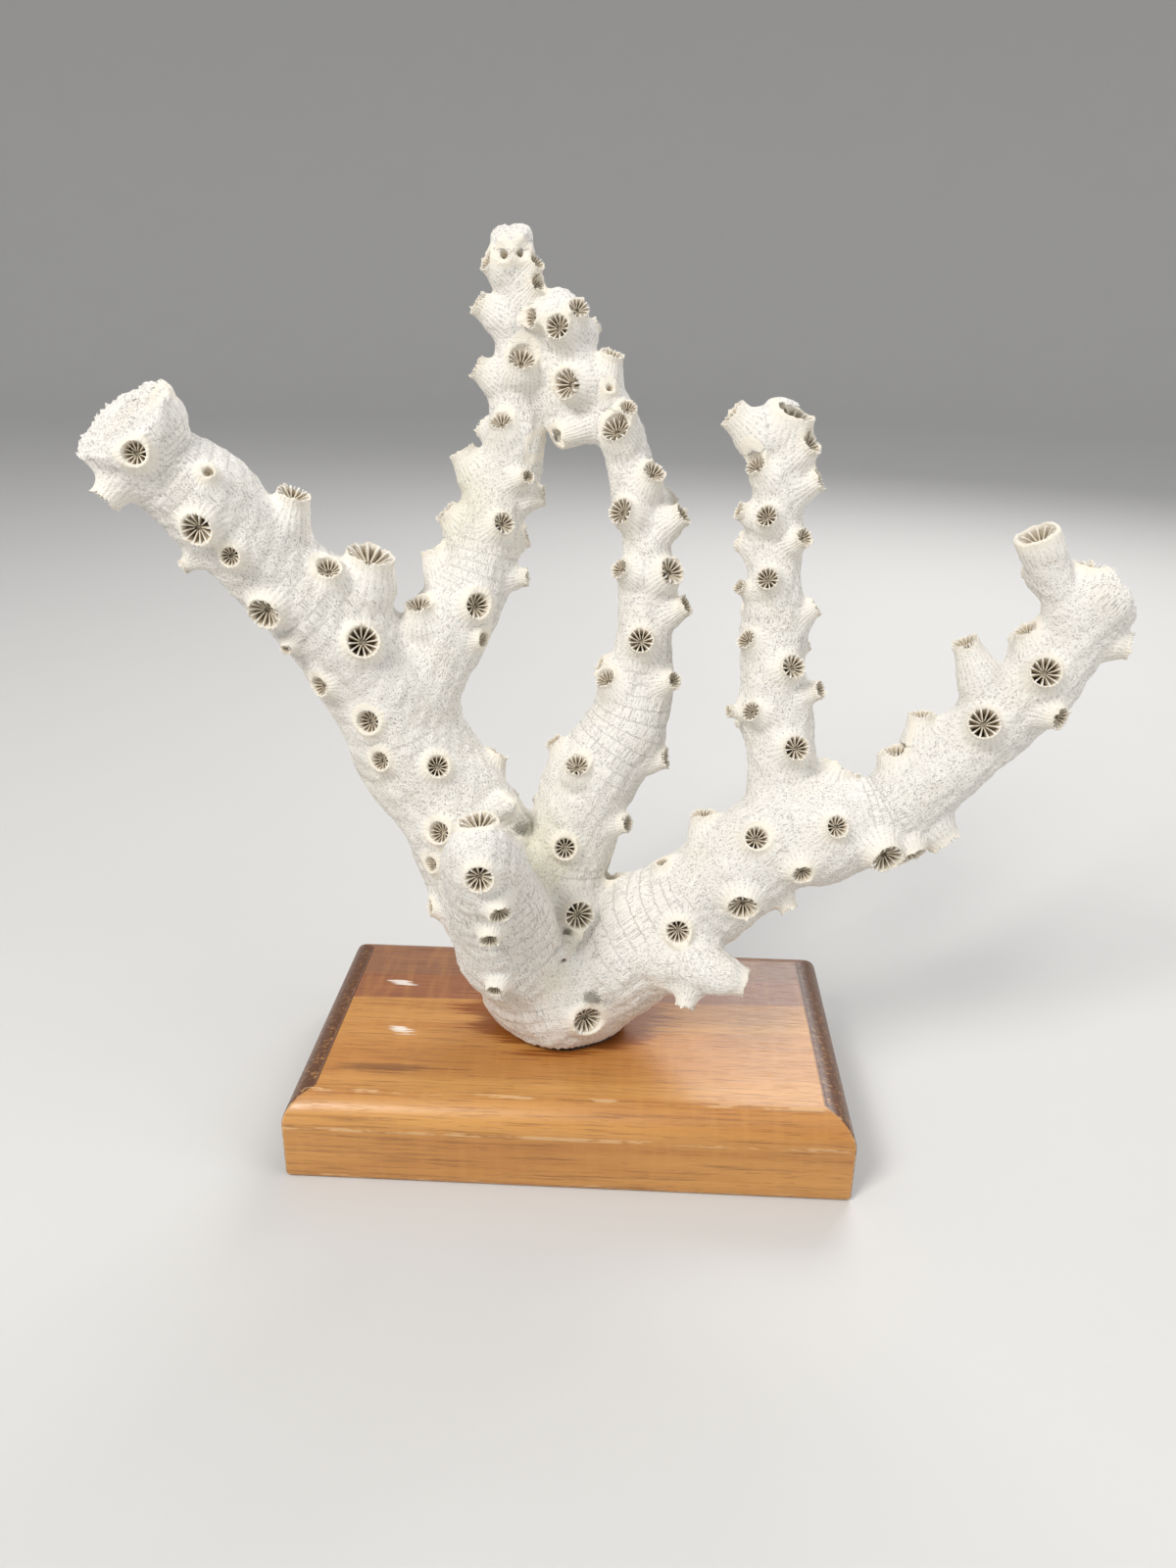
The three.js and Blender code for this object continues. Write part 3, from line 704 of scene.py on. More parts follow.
def places_on_limbs(points):
    nearest = np.full(len(points), 1e9)
    second = np.full(len(points), 1e9)
    owner = np.zeros(len(points), int)
    along_limb = np.zeros((len(points), 3))
    for number, limb in enumerate(limbs):
        reach = limb.radii.max() + 14
        low, high = limb.points.min(axis=0) - reach, limb.points.max(axis=0) + reach
        close = np.flatnonzero(((points > low) & (points < high)).all(axis=1))
        distance, place = nearest_on_limb(limb, points[close])
        better = distance < nearest[close]
        second[close] = np.minimum(second[close], np.where(better, nearest[close], distance))
        chosen = close[better]
        nearest[chosen], owner[chosen], along_limb[chosen] = distance[better], number, place[better]
    return owner, along_limb, second - nearest


owner, along_limb, clear_of_fork = places_on_limbs(skin)
print("corners of each limb:", dict(zip(LIMBS, np.bincount(owner, minlength=len(limbs)))))


# %% Places on the cups
COSTAE_REACH = 4.0


def smooth_step(values, start, end):
    t = np.clip((values - start) / (end - start), 0, 1)
    return t * t * (3 - 2 * t)


def places_on_cups(points, owner):
    """Round-the-cup coordinates, and rim and hollow weights; cups take their own points."""
    round_cup = np.zeros((len(points), 3))
    runner_up = np.zeros(len(points))
    tone = np.zeros((len(points), 3))
    for number, cup in enumerate(cups):
        reach = cup.radius + cup.reach + COSTAE_REACH + 2
        close = np.flatnonzero((np.abs(points - cup.root) < reach).all(axis=1))
        height, across, angle = cup_coordinates(cup, *points[close].T)
        on_wall = smooth_step(height, -6, -2) * (height < cup.reach + 1.5)
        closeness = (1 - smooth_step(across - cup.radius, 0.2, COSTAE_REACH)) * on_wall
        stronger = closeness > round_cup[close, 2]
        runner_up[close] = np.maximum(runner_up[close], np.minimum(closeness, round_cup[close, 2]))
        taken = close[stronger]
        round_cup[taken, 0] = np.cos(angle[stronger])
        round_cup[taken, 1] = np.sin(angle[stronger])
        round_cup[taken, 2] = closeness[stronger]
        standing = (across < cup.radius + 1.2) & (height > -1.0) & (height < cup.reach + 1.5)
        owner[close[standing]] = limbs.index(cup.limb)
        below = cup.reach - height
        at_lip = (across < cup.radius + 0.8) & (across > cup.mouth - 0.8)
        lip = np.exp(-((below / LIP_HEIGHT) ** 2)) * at_lip
        on_outside = np.abs(across - cup.radius - 0.4) < 0.9
        outside = np.exp(-np.maximum(below, 0) / 2.4) * on_outside * 0.75
        within = (across < cup.mouth + 0.2) & (below < cup.depth + 0.5) & (below > 0.15)
        on_calice = np.abs(calice_distance(cup, height, across)) < 0.45
        on_column = np.abs(column_distance(cup, height, across)) < 0.35
        on_column = on_column & (across < 0.5 * cup.radius)
        # How deep a point is in a calice: the finish uses it for the tan and for painted shade, brown
        # and near black deep down.
        hollow = np.clip(below / cup.depth, 0, 1) * (on_calice | on_column) * within
        tone[close, 0] = np.maximum(tone[close, 0], np.maximum(lip, outside))
        tone[close, 1] = np.maximum(tone[close, 1], np.where(on_column, 0.45 * hollow, hollow))
    round_cup[:, 2] *= smooth_step(round_cup[:, 2] - runner_up, 0.0, 0.3)
    return round_cup, tone


round_cup, cup_tone = places_on_cups(skin, owner)
print("corners in hollows:", int((cup_tone[:, 1] > 0.5).sum()))


# %% [markdown]
# ## Grain
#
# The skeleton is as rough as coarse sandpaper, and its outline shows it. A finer grid would carry
# that at four times the cost. So the corners are moved instead: in or out by a random value that is
# smooth from one cell of a lattice to the next. The cells are longer along the limb, as the
# grains are, and the cups' own walls are left nearly smooth.

# %% Rough skin
# Each: the cell's width, its length along the limb, and the height, in millimetres.
GRAIN_CELLS = ((1.05, 1.6, 0.19), (2.9, 4.0, 0.14))


def lattice_noise(places, seed):
    """Random values from -1 to 1 on the corners of unit cells, blended between them."""
    cell = np.floor(places).astype(np.int64)
    part = places - cell
    part = part * part * (3 - 2 * part)
    total = np.zeros(len(places))
    for corner in np.ndindex(2, 2, 2):
        key = (cell + corner) @ np.array([73856093, 19349663, 83492791]) + seed * 7919
        key = ((key ^ (key >> 13)) * 1274126177) & 0x7FFFFFFF
        key = ((key ^ (key >> 11)) * 60493) & 0x7FFFFFFF
        weight = np.prod(np.where(corner, part, 1 - part), axis=1)
        total += weight * ((key % 2048) / 1023.5 - 1)
    return total


smoothness = np.maximum(np.clip(cup_tone[:, 0] * 1.3, 0, 0.8), (cup_tone[:, 1] > 0) * 0.8)
push = np.zeros(len(skin))
apart = smooth_step(clear_of_fork, 0.3, 3.0)
for seed, (width, length, height) in enumerate(GRAIN_CELLS):
    along_grain = lattice_noise(along_limb / (width, width, length), seed)
    plain_grain = lattice_noise(skin / width, seed + 7)
    push += height * (apart * along_grain + (1 - apart) * plain_grain)
push *= (1 - smoothness) * smooth_step(skin[:, 2], foot_height + 0.1, foot_height + 1.5)
skin = skin + push[:, None] * smooth_normals
skin_normals = corner_normals(skin, quads)
print("grain moves corners by up to", round(float(np.abs(push).max()), 2), "mm")


# %% Stains
# Each: (x, y, z, radius, strength) of a place where the skeleton kept a yellow-green growth.
STAINS = [
    (-33, 12, 172, 12, 0.8), (-12, -6, 80, 12, 0.9), (-6, -20, 52, 5, 0.8), (-50, 0, 104, 10, 0.5),
    (0, -20, 62, 4, 0.7),
]
# And where a grey crust has grown, in the same terms.
CRUSTS = [(5.5, -20.5, 45.6, 3.0, 1.0), (9.5, -19.5, 44.8, 2.2, 0.9), (-15.5, -5, 88.5, 3.6, 0.8)]


def patches(spots):
    weight = np.zeros(len(skin))
    for x, y, z, radius, strength in spots:
        away = np.linalg.norm(skin - np.array([x, y, z]), axis=1) / radius
        weight = np.maximum(weight, strength * np.exp(-(away**2)))
    return weight


cup_tone[:, 2] = patches(STAINS)
skin_state = np.column_stack([1 - apart, patches(CRUSTS), np.zeros(len(skin))])
print(len(STAINS), "stains and", len(CRUSTS), "crusts")


# %% [markdown]
# ## One mesh for each limb
#
# Each limb takes the quads of its own points. A little island of one limb inside another is given
# back to its surroundings, so every limb is one body, as it would be on the bench. Where the skin
# was parted, a fan of triangles closes the limb's broken end. Both sides of a parting share the
# same edge and the same smooth directions, so no seam shows.

# %% Islands
def sides_of(faces, count):
    """The four sides of each quad, and for each side one number that its two ends share."""
    sides = np.vstack([faces[:, [k, (k + 1) % 4]] for k in range(4)])
    ends = np.sort(sides, axis=1)
    return sides, ends[:, 0] * count + ends[:, 1]


def groups_of(count, edges):
    """The connected group that each of count points is in, found by following edges."""
    parent = np.arange(count)
    while True:
        low = np.minimum(parent[edges[:, 0]], parent[edges[:, 1]])
        before = parent.copy()
        np.minimum.at(parent, parent[edges[:, 0]], low)
        np.minimum.at(parent, parent[edges[:, 1]], low)
        while (parent != parent[parent]).any():
            parent = parent[parent]
        if (parent == before).all():
            return parent


def give_back_islands(owner, edges):
    """Keeps each limb's largest group; whatever else it has goes to the limb beside it."""
    own_edges = edges[owner[edges[:, 0]] == owner[edges[:, 1]]]
    group = groups_of(len(owner), own_edges)
    sizes = np.bincount(group, minlength=len(owner))
    adrift = np.ones(len(owner), bool)
    for number in range(len(limbs)):
        mine = np.flatnonzero(owner == number)
        if len(mine):
            adrift[group == group[mine[np.argmax(sizes[group[mine]])]]] = False
    both_ways = np.vstack([edges, edges[:, ::-1]])
    while adrift.any():
        settled = both_ways[adrift[both_ways[:, 0]] & ~adrift[both_ways[:, 1]]]
        if not len(settled):
            break
        owner[settled[:, 0]] = owner[settled[:, 1]]
        adrift[settled[:, 0]] = False
    return owner


def quads_side_by_side():
    """Pairs of quads that share a side. Quads that only touch at a corner aren't a pair."""
    keys = sides_of(quads, len(skin))[1]
    faces = np.tile(np.arange(len(quads)), 4)
    order = np.argsort(keys, kind="stable")
    keys, faces = keys[order], faces[order]
    pairs = np.flatnonzero(keys[1:] == keys[:-1])
    return np.column_stack([faces[pairs], faces[pairs + 1]])


edges = np.unique(np.sort(sides_of(quads, len(skin))[0], axis=1), axis=0)
skin_group = groups_of(len(skin), edges)
main_group = np.bincount(skin_group, minlength=len(skin)).argmax()
print("loose bits left out:", len(np.unique(skin_group[skin_group != main_group])))
quads = quads[skin_group[quads[:, 0]] == main_group]
edges = edges[skin_group[edges[:, 0]] == main_group]
owner[skin_group != main_group] = -1
owner = give_back_islands(owner, edges)
quad_owner = np.sort(owner[quads], axis=1)[:, 1]
quad_owner = give_back_islands(quad_owner, quads_side_by_side())
print("quads of each limb:", dict(zip(LIMBS, np.bincount(quad_owner, minlength=len(limbs)))))


# %% Closing the broken ends
def broken_end_fans(faces, points):
    """Centres and triangles that close the open borders of a limb's quads."""
    sides, keys = sides_of(faces, len(points))
    inverse, counts = np.unique(keys, return_inverse=True, return_counts=True)[1:]
    border = sides[counts[inverse] == 1]
    if not len(border):
        return np.zeros((0, 3)), np.zeros((0, 3), int)
    group = groups_of(len(points), border)
    loop_of = group[border[:, 0]]
    loops = np.unique(loop_of)
    rings = [points[np.unique(border[loop_of == loop])] for loop in loops]
    centres = np.array([ring.mean(axis=0) for ring in rings])
    centre_of = len(points) + np.searchsorted(loops, loop_of)
    return centres, np.column_stack([border[:, 1], border[:, 0], centre_of])


def limb_arrays(number):
    """A limb's points, quads, fans and skin values, with the points renumbered from nought."""
    used, faces = np.unique(quads[quad_owner == number], return_inverse=True)
    faces = faces.reshape(-1, 4)
    centres, fans = broken_end_fans(faces, skin[used])
    return used, faces, centres, fans


fans_made = [len(limb_arrays(number)[2]) for number in range(len(limbs))]
print("broken ends closed:", dict(zip(LIMBS, fans_made)))


# %% [markdown]
# ## Node graphs as expressions
#
# Geometry Nodes and materials are both graphs of nodes. Written out link by link they are hard to
# read, so one small class stands for an output socket. Adding, multiplying or subtracting it adds
# the Math node that does the same. Every other node comes from one method, which takes the node's
# type, its settings, and what goes into its sockets: a number, a colour, or another wire.

# %% Wires and graphs
class Wire:
    """An output socket. Arithmetic on it adds Math nodes."""

    def __init__(self, graph, socket):
        self.graph, self.socket = graph, socket

    def math(self, operation, *terms):
        return self.graph.node("ShaderNodeMath", {"operation": operation}, dict(enumerate(terms)))

    def __add__(self, other):
        return self.math("ADD", self, other)

    def __radd__(self, other):
        return self.math("ADD", other, self)

    def __sub__(self, other):
        return self.math("SUBTRACT", self, other)

    def __rsub__(self, other):
        return self.math("SUBTRACT", other, self)

    def __mul__(self, other):
        return self.math("MULTIPLY", self, other)

    def __rmul__(self, other):
        return self.math("MULTIPLY", other, self)

    def __truediv__(self, other):
        return self.math("DIVIDE", self, other)

    def __pow__(self, other):
        return self.math("POWER", self, other)

    def __abs__(self):
        return self.math("ABSOLUTE", self)

    def most(self, other):
        return self.math("MAXIMUM", self, other)

    def rise(self, start, end):
        """0 below start, 1 above end, smooth between; start above end turns it round."""
        settings = {"interpolation_type": "SMOOTHSTEP"}
        sockets = {"Value": self, "From Min": start, "From Max": end}
        return self.graph.node("ShaderNodeMapRange", settings, sockets)


class Graph:
    """A node tree, and the one method that adds a node to it."""

    def __init__(self, tree):
        self.tree = tree

    def node(self, kind, settings=None, sockets=None, out=0):
        made = self.tree.nodes.new(kind)
        for key, value in (settings or {}).items():
            if key == "stops":
                self.set_stops(made.color_ramp, value)
            else:
                setattr(made, key, value)
        for key, value in (sockets or {}).items():
            if isinstance(value, Wire):
                self.tree.links.new(value.socket, made.inputs[key])
            else:
                made.inputs[key].default_value = value
        return Wire(self, made.outputs[out]) if made.outputs else made

    def set_stops(self, ramp, stops):
        while len(ramp.elements) < len(stops):
            ramp.elements.new(0.5)
        for element, (position, color) in zip(ramp.elements, stops):
            element.position, element.color = position, (*color, 1)

    def vector(self, operation, *terms):
        return self.node("ShaderNodeVectorMath", {"operation": operation}, dict(enumerate(terms)))

    def separate(self, vector):
        split = self.node("ShaderNodeSeparateXYZ", None, {0: vector})
        return [Wire(self, socket) for socket in split.socket.node.outputs]

    def combine(self, x, y, z):
        return self.node("ShaderNodeCombineXYZ", None, {0: x, 1: y, 2: z})


print("a wire can do:", [name for name, value in vars(Wire).items() if callable(value)])


# %% [markdown]
# ## Septa, by Geometry Nodes
#
# Twenty-four thin walls stand in each cup, every second one shorter, and their tops reach a little
# over the rim, which makes its teeth. They are too thin for the grid of the skin. There are
# thousands and they all follow one rule, so a node tree makes them: a ring of points is set on
# each cup's rim, and one bent plate on each point of each ring. A plate is a block of a few faces
# whose top falls away towards the cup's middle.

# %% The septa tree
SEPTA = 24
SEPTUM_THICKNESS = 0.40
TOP_FALLS = 0.36
LENGTH_SHARE = 0.84
LESSER_SHORTER = 0.56
LENGTH_CHANCE = 0.10
USUAL_CUP_RADIUS = 3.5


def interface(tree, direction, name, kind):
    return tree.interface.new_socket(name, in_out=direction, socket_type=kind).identifier


def septum_plate(graph):
    """A plate from the wall (x 0) inwards (x 1), tapering, its top falling to the middle."""
    block = graph.node("GeometryNodeMeshCube", None, {"Size": (1, 1, 1), "Vertices X": 4})
    x, y, z = graph.separate(graph.node("GeometryNodeInputPosition"))
    inward, height = x + 0.5, z + 0.5
    top = -0.02 - TOP_FALLS * inward.rise(0.10, 1.1)
    level = height * (top + 1) - 1
    moved = graph.combine(inward, y * (1 - 0.5 * inward), level)
    shaped = graph.node("GeometryNodeSetPosition", None, {"Geometry": block, "Position": moved})
    depth = level * -1
    near_top = (depth + top).rise(0.40, 0.0)
    # The second value takes a plate's lower part towards the hollow's tan and brown: the tan is the
    # calice's colour, the brown painted shade deep in the cup.
    tone = graph.combine(near_top, depth.rise(0.55, 1.15) * 0.35, 0.0)
    return store(graph, shaped, "cup_tone", tone)


def store(graph, geometry, name, value):
    """The geometry with a vector kept on its points under a name."""
    settings = {"data_type": "FLOAT_VECTOR", "domain": "POINT"}
    sockets = {"Geometry": geometry, "Name": name, "Value": value}
    return graph.node("GeometryNodeStoreNamedAttribute", settings, sockets)


def named(graph, name, kind="FLOAT_VECTOR"):
    return graph.node("GeometryNodeInputNamedAttribute", {"data_type": kind}, {"Name": name})


def facing_rotation(graph, upward, sideways):
    settings = {"primary_axis": "Z", "secondary_axis": "X"}
    return graph.node("FunctionNodeAxesToRotation", settings, {0: upward, 1: sideways})


def copies(graph, points, shape, rotation, scale):
    """The shape set on every point, as real geometry."""
    sockets = {"Points": points, "Instance": shape, "Rotation": rotation, "Scale": scale}
    instances = graph.node("GeometryNodeInstanceOnPoints", None, sockets)
    return graph.node("GeometryNodeRealizeInstances", None, {0: instances})


def septa_tree():
    tree = bpy.data.node_groups.new("septa", "GeometryNodeTree")
    sockets = {"Cups": interface(tree, "INPUT", "Cups", "NodeSocketGeometry")}
    kinds = {"Septa": "Int", "Thickness": "Float", "Seed": "Int", "Finish": "Material"}
    for name, kind in kinds.items():
        sockets[name] = interface(tree, "INPUT", name, "NodeSocket" + kind)
    interface(tree, "OUTPUT", "Septa", "NodeSocketGeometry")
    graph = Graph(tree)
    given = tree.nodes.new("NodeGroupInput")
    wires = {name: Wire(graph, given.outputs[name]) for name in sockets}

    position = graph.node("GeometryNodeInputPosition")
    cups_in = store(graph, wires["Cups"], "centre", position)
    circle = {"Vertices": wires["Septa"], "Radius": 1.0}
    ring = graph.node("GeometryNodeMeshCircle", {"fill_type": "NONE"}, circle)
    size = named(graph, "size", "FLOAT")
    turn = facing_rotation(graph, named(graph, "facing"), named(graph, "across"))
    rings = copies(graph, cups_in, ring, turn, graph.combine(size, size, size))

    index = graph.node("GeometryNodeInputIndex")
    lesser = graph.node("ShaderNodeMath", {"operation": "MODULO"}, {0: index, 1: 2.0})
    dice = {"ID": index, "Seed": wires["Seed"]}
    chance = graph.node("FunctionNodeRandomValue", {"data_type": "FLOAT"}, dice, out=1)
    inward = graph.vector("SUBTRACT", named(graph, "centre"), position)
    turn = facing_rotation(graph, named(graph, "facing"), inward)
    length = size * (LENGTH_SHARE - LESSER_SHORTER * lesser - LENGTH_CHANCE * chance)
    wider_cup = size / (USUAL_CUP_RADIUS * MM)
    thickness = wires["Thickness"] * (1.0 - 0.5 * lesser) * wider_cup
    deep = named(graph, "depth", "FLOAT") * (0.9 + 0.16 * chance)
    scale = graph.combine(length, thickness, deep)
    plates = copies(graph, rings, septum_plate(graph), turn, scale)
    finished = {"Geometry": plates, "Material": wires["Finish"]}
    plates = graph.node("GeometryNodeSetMaterial", None, finished)
    result = tree.nodes.new("NodeGroupOutput")
    tree.links.new(plates.socket, result.inputs[0])
    return tree, sockets


septa_group, septa_sockets = septa_tree()
print("septa tree:", len(septa_group.nodes), "nodes, inputs", list(septa_sockets))


# %% [markdown]
# ## The coral's finish
#
# Coral skeleton is chalky and bone white, with no gloss. Three things stop it looking like
# plaster. Fine ribs run along the limbs and climb the cups, broken into grains. Between the grains
# are pores, painted grey as shade. And colour gathers with age: the rims are cream, the hollows
# are tan, and a few patches keep a yellow-green film; deeper down, painted shade takes the hollows
# to grey-brown and near black. All of it is worked out from the values that the mesh carries, so
# the ribs follow each limb round its bends.

# %% Coral material
def new_material(name):
    material = bpy.data.materials.new(name)
    material.use_nodes = True
    material.node_tree.nodes.clear()
    return material, Graph(material.node_tree)


def finish_with(graph, sockets):
    surface = graph.node("ShaderNodeBsdfPrincipled", None, sockets)
    graph.node("ShaderNodeOutputMaterial", None, {"Surface": surface})


def attribute(graph, name):
    return graph.node("ShaderNodeAttribute", {"attribute_name": name}, out=1)


def object_place(graph):
    """Where a point is on the object, in millimetres."""
    place = graph.node("ShaderNodeTexCoord", out=3)
    return graph.vector("MULTIPLY", place, (1 / MM, 1 / MM, 1 / MM))


def noise(graph, place, scale, detail=2.0, roughness=0.5):
    sockets = {"Vector": place, "Scale": scale, "Detail": detail, "Roughness": roughness}
    return graph.node("ShaderNodeTexNoise", {"noise_dimensions": "3D"}, sockets)


def grain(graph, place, stretch, detail=2.0, roughness=0.5):
    """Noise with its own number of grains to the millimetre along each axis."""
    return noise(graph, graph.vector("MULTIPLY", place, stretch), 1.0, detail, roughness)


def bumps(graph, height, distance, strength=1.0):
    """A slope for the Normal socket, from heights of 0 to 1 that stand for a distance in mm."""
    sockets = {"Strength": strength, "Distance": distance * MM, "Height": height}
    return graph.node("ShaderNodeBump", None, sockets)


def blend(graph, factor, first, second):
    """One colour turning into another. A colour is three numbers or a wire."""
    sockets = {0: factor}
    for number, color in ((6, first), (7, second)):
        sockets[number] = color if isinstance(color, Wire) else (*color, 1)
    return graph.node("ShaderNodeMix", {"data_type": "RGBA", "clamp_factor": True}, sockets, out=2)


BONE = (0.83, 0.80, 0.745)
# Painted shade: the grey that the pores between the grains are darkened to.
PORE_SHADE_GREY = (0.36, 0.345, 0.325)
CRUST_GREY = (0.215, 0.20, 0.16)
RIM_CREAM = (0.80, 0.73, 0.60)
HOLLOW_TAN = (0.62, 0.53, 0.39)
# The brown and near black below are painted shade deep in a calice; the tan above is the calice's own
# colour.
HOLLOW_SHADE_BROWN = (0.34, 0.26, 0.165)
HOLLOW_SHADE_DARK = (0.09, 0.068, 0.05)
FILM_GREEN = (0.60, 0.56, 0.34)
CUP_RIBS = 24.0
LIMB_GRAINS = (2.2, 2.2, 1.45)
CORAL_RELIEF = 0.75


def coral_relief(graph, place, cream, at_fork):
    """Height of the ribs and grains, from 0 in the pores to about 1 on the ribs."""
    limb_grains = grain(graph, attribute(graph, "along_limb"), LIMB_GRAINS, 2.0, 0.55)
    plain_grains = noise(graph, place, 2.0, 2.0, 0.55)
    limb_grains = limb_grains + (plain_grains - limb_grains) * at_fork
    round_x, round_y, closeness = graph.separate(attribute(graph, "round_cup"))
    angle = graph.node("ShaderNodeMath", {"operation": "ARCTAN2"}, {0: round_y, 1: round_x})
    wobble = noise(graph, place, 0.45, 1.0) * 3.0
    wave = graph.node("ShaderNodeMath", {"operation": "SINE"}, {0: angle * CUP_RIBS + wobble})
    cup_ribs = 0.53 + 0.16 * wave
    weight = closeness.rise(0.10, 0.8)
    fine = noise(graph, place, 2.3, 2.0, 0.6)
    ribs = limb_grains * (1 - weight * 0.7) + cup_ribs * weight * 0.7
    relief = ribs * 0.58 + fine * 0.42
    return relief + (0.56 - relief) * cream * 0.55, fine


def coral_material():
    material, graph = new_material("coral skeleton")
    place = object_place(graph)
    cream, hollow, film = graph.separate(attribute(graph, "cup_tone"))
    at_fork, crust = graph.separate(attribute(graph, "skin_state"))[:2]
    relief, fine = coral_relief(graph, place, cream, at_fork)
    patches = noise(graph, place, 0.09, 3.0)

    # Painted shade: the pores between the grains are darkened grey.
    pores = relief.rise(0.49, 0.385) * (1 - hollow.rise(0, 0.1) * 0.8)
    color = blend(graph, pores * (0.30 + 0.75 * patches), BONE, PORE_SHADE_GREY)
    color = blend(graph, patches.rise(0.50, 0.72) * 0.20, color, RIM_CREAM)
    color = blend(graph, film * (0.25 + fine.rise(0.35, 0.65)) * 0.55, color, FILM_GREEN)
    crusted = (crust + (fine - 0.5) * 1.2).rise(0.35, 0.6) * crust.rise(0.05, 0.3)
    color = blend(graph, crusted * 0.8, color, CRUST_GREY)
    color = blend(graph, cream * 0.75, color, RIM_CREAM)
    color = blend(graph, hollow.rise(0.0, 0.16) * 0.8, color, HOLLOW_TAN)
    # Painted shade: deeper in a calice the tan darkens to brown, then to near black at the bottom.
    color = blend(graph, hollow.rise(0.15, 0.6) * 0.9, color, HOLLOW_SHADE_BROWN)
    color = blend(graph, hollow.rise(0.55, 1.0) * 0.9, color, HOLLOW_SHADE_DARK)

    normal = bumps(graph, relief, CORAL_RELIEF)
    sockets = {"Base Color": color, "Roughness": 0.95 - 0.2 * relief, "Normal": normal}
    finish_with(graph, {**sockets, "Specular IOR Level": 0.3})
    return material


coral_finish = coral_material()
print("coral finish:", len(coral_finish.node_tree.nodes), "nodes")


# %% [markdown]
# ## Limbs and septa become meshes
#
# Each limb's skin, the fans in its broken ends and its septa go into one mesh. The directions that
# light it are given one by one: the skin takes those worked out over the whole coral, so that two
# limbs meet without a line, and the fans and plates keep their own flat ones.

# %% Septa of one limb
def seeds_of(limb):
    """A mesh of one point for each of the limb's cups, carrying its directions and sizes."""
    mine = [cup for cup in cups if cup.limb is limb]
    mesh = bpy.data.meshes.new("cups of " + limb.name)
    mesh.vertices.add(len(mine))
    mesh.vertices.foreach_set("co", np.ravel([cup.rim * MM for cup in mine]))
    for name, kind, key, values in (
        ("facing", "FLOAT_VECTOR", "vector", [cup.direction for cup in mine]),
        ("across", "FLOAT_VECTOR", "vector", [cup.across for cup in mine]),
        ("size", "FLOAT", "value", [(cup.radius - 0.12) * MM for cup in mine]),
        ("depth", "FLOAT", "value", [cup.depth * MM for cup in mine]),
    ):
        mesh.attributes.new(name, kind, "POINT").data.foreach_set(key, np.ravel(values))
    return mesh


def read_mesh(mesh, name):
    """A mesh's points, faces of four and one attribute, as arrays."""
    points = np.empty(3 * len(mesh.vertices))
    mesh.vertices.foreach_get("co", points)
    corners = np.empty(len(mesh.loops), int)
    mesh.loops.foreach_get("vertex_index", corners)
    values = np.empty(3 * len(mesh.vertices))
    mesh.attributes[name].data.foreach_get("vector", values)
    return points.reshape(-1, 3), corners.reshape(-1, 4), values.reshape(-1, 3)


def septa_of(limb, number):
    maker = bpy.data.objects.new("septa of " + limb.name, seeds_of(limb))
    scene.collection.objects.link(maker)
    modifier = maker.modifiers.new("septa", "NODES")
    modifier.node_group = septa_group
    modifier[septa_sockets["Septa"]] = SEPTA
    modifier[septa_sockets["Thickness"]] = SEPTUM_THICKNESS * MM
    modifier[septa_sockets["Seed"]] = number
    modifier[septa_sockets["Finish"]] = coral_finish
    graph = bpy.context.evaluated_depsgraph_get()
    mesh = bpy.data.meshes.new_from_object(maker.evaluated_get(graph))
    bpy.data.objects.remove(maker)
    return read_mesh(mesh, "cup_tone")


# %% Arrays into a mesh
def mesh_from(name, points, faces, normals, smooth_faces, values):
    """faces is a list of arrays of equal-sided faces; values are vector attributes by name."""
    mesh = bpy.data.meshes.new(name)
    corners = np.concatenate([group.ravel() for group in faces])
    sides = np.concatenate([np.full(len(group), group.shape[1]) for group in faces])
    starts = np.concatenate([[0], np.cumsum(sides)[:-1]])
    mesh.vertices.add(len(points))
    mesh.vertices.foreach_set("co", np.ravel(points))
    mesh.loops.add(len(corners))
    mesh.loops.foreach_set("vertex_index", corners.astype(np.int32))
    mesh.polygons.add(len(sides))
    mesh.polygons.foreach_set("loop_start", starts.astype(np.int32))
    mesh.update(calc_edges=True)
    smooth = np.zeros(len(sides), bool)
    smooth[:smooth_faces] = True
    mesh.polygons.foreach_set("use_smooth", smooth)
    for key, vectors in values.items():
        kept = mesh.attributes.new(key, "FLOAT_VECTOR", "POINT")
        kept.data.foreach_set("vector", np.ravel(vectors))
    flat = np.empty(3 * len(sides))
    mesh.polygons.foreach_get("normal", flat)
    directions = np.repeat(flat.reshape(-1, 3), sides, axis=0)
    smooth_corners = int(sides[:smooth_faces].sum())
    directions[:smooth_corners] = normals[corners[:smooth_corners]]
    mesh.normals_split_custom_set(directions)
    return mesh


def limb_mesh(limb, number):
    """A limb's skin, the fans in its broken ends and its septa, in one mesh."""
    used, faces, centres, fans = limb_arrays(number)
    points = [skin[used] * MM, centres * MM]
    groups = [faces, fans]
    tones = [cup_tone[used], np.zeros((len(centres), 3))]
    if any(cup.limb is limb for cup in cups):
        thin, plates, plate_tone = septa_of(limb, number)
        groups.append(plates + len(used) + len(centres))
        points.append(thin)
        tones.append(plate_tone)
    blank = np.zeros((sum(len(group) for group in points[1:]), 3))
    along_own = nearest_on_limb(limb, skin[used])[1]
    values = {
        "along_limb": np.vstack([along_own, blank]),
        "skin_state": np.vstack([skin_state[used], blank]),
        "round_cup": np.vstack([round_cup[used], blank]),
        "cup_tone": np.vstack(tones),
    }
    normals = np.vstack([skin_normals[used], blank])
    mesh = mesh_from("coral_" + limb.name, np.vstack(points), groups, normals, len(faces), values)
    mesh.materials.append(coral_finish)
    return mesh


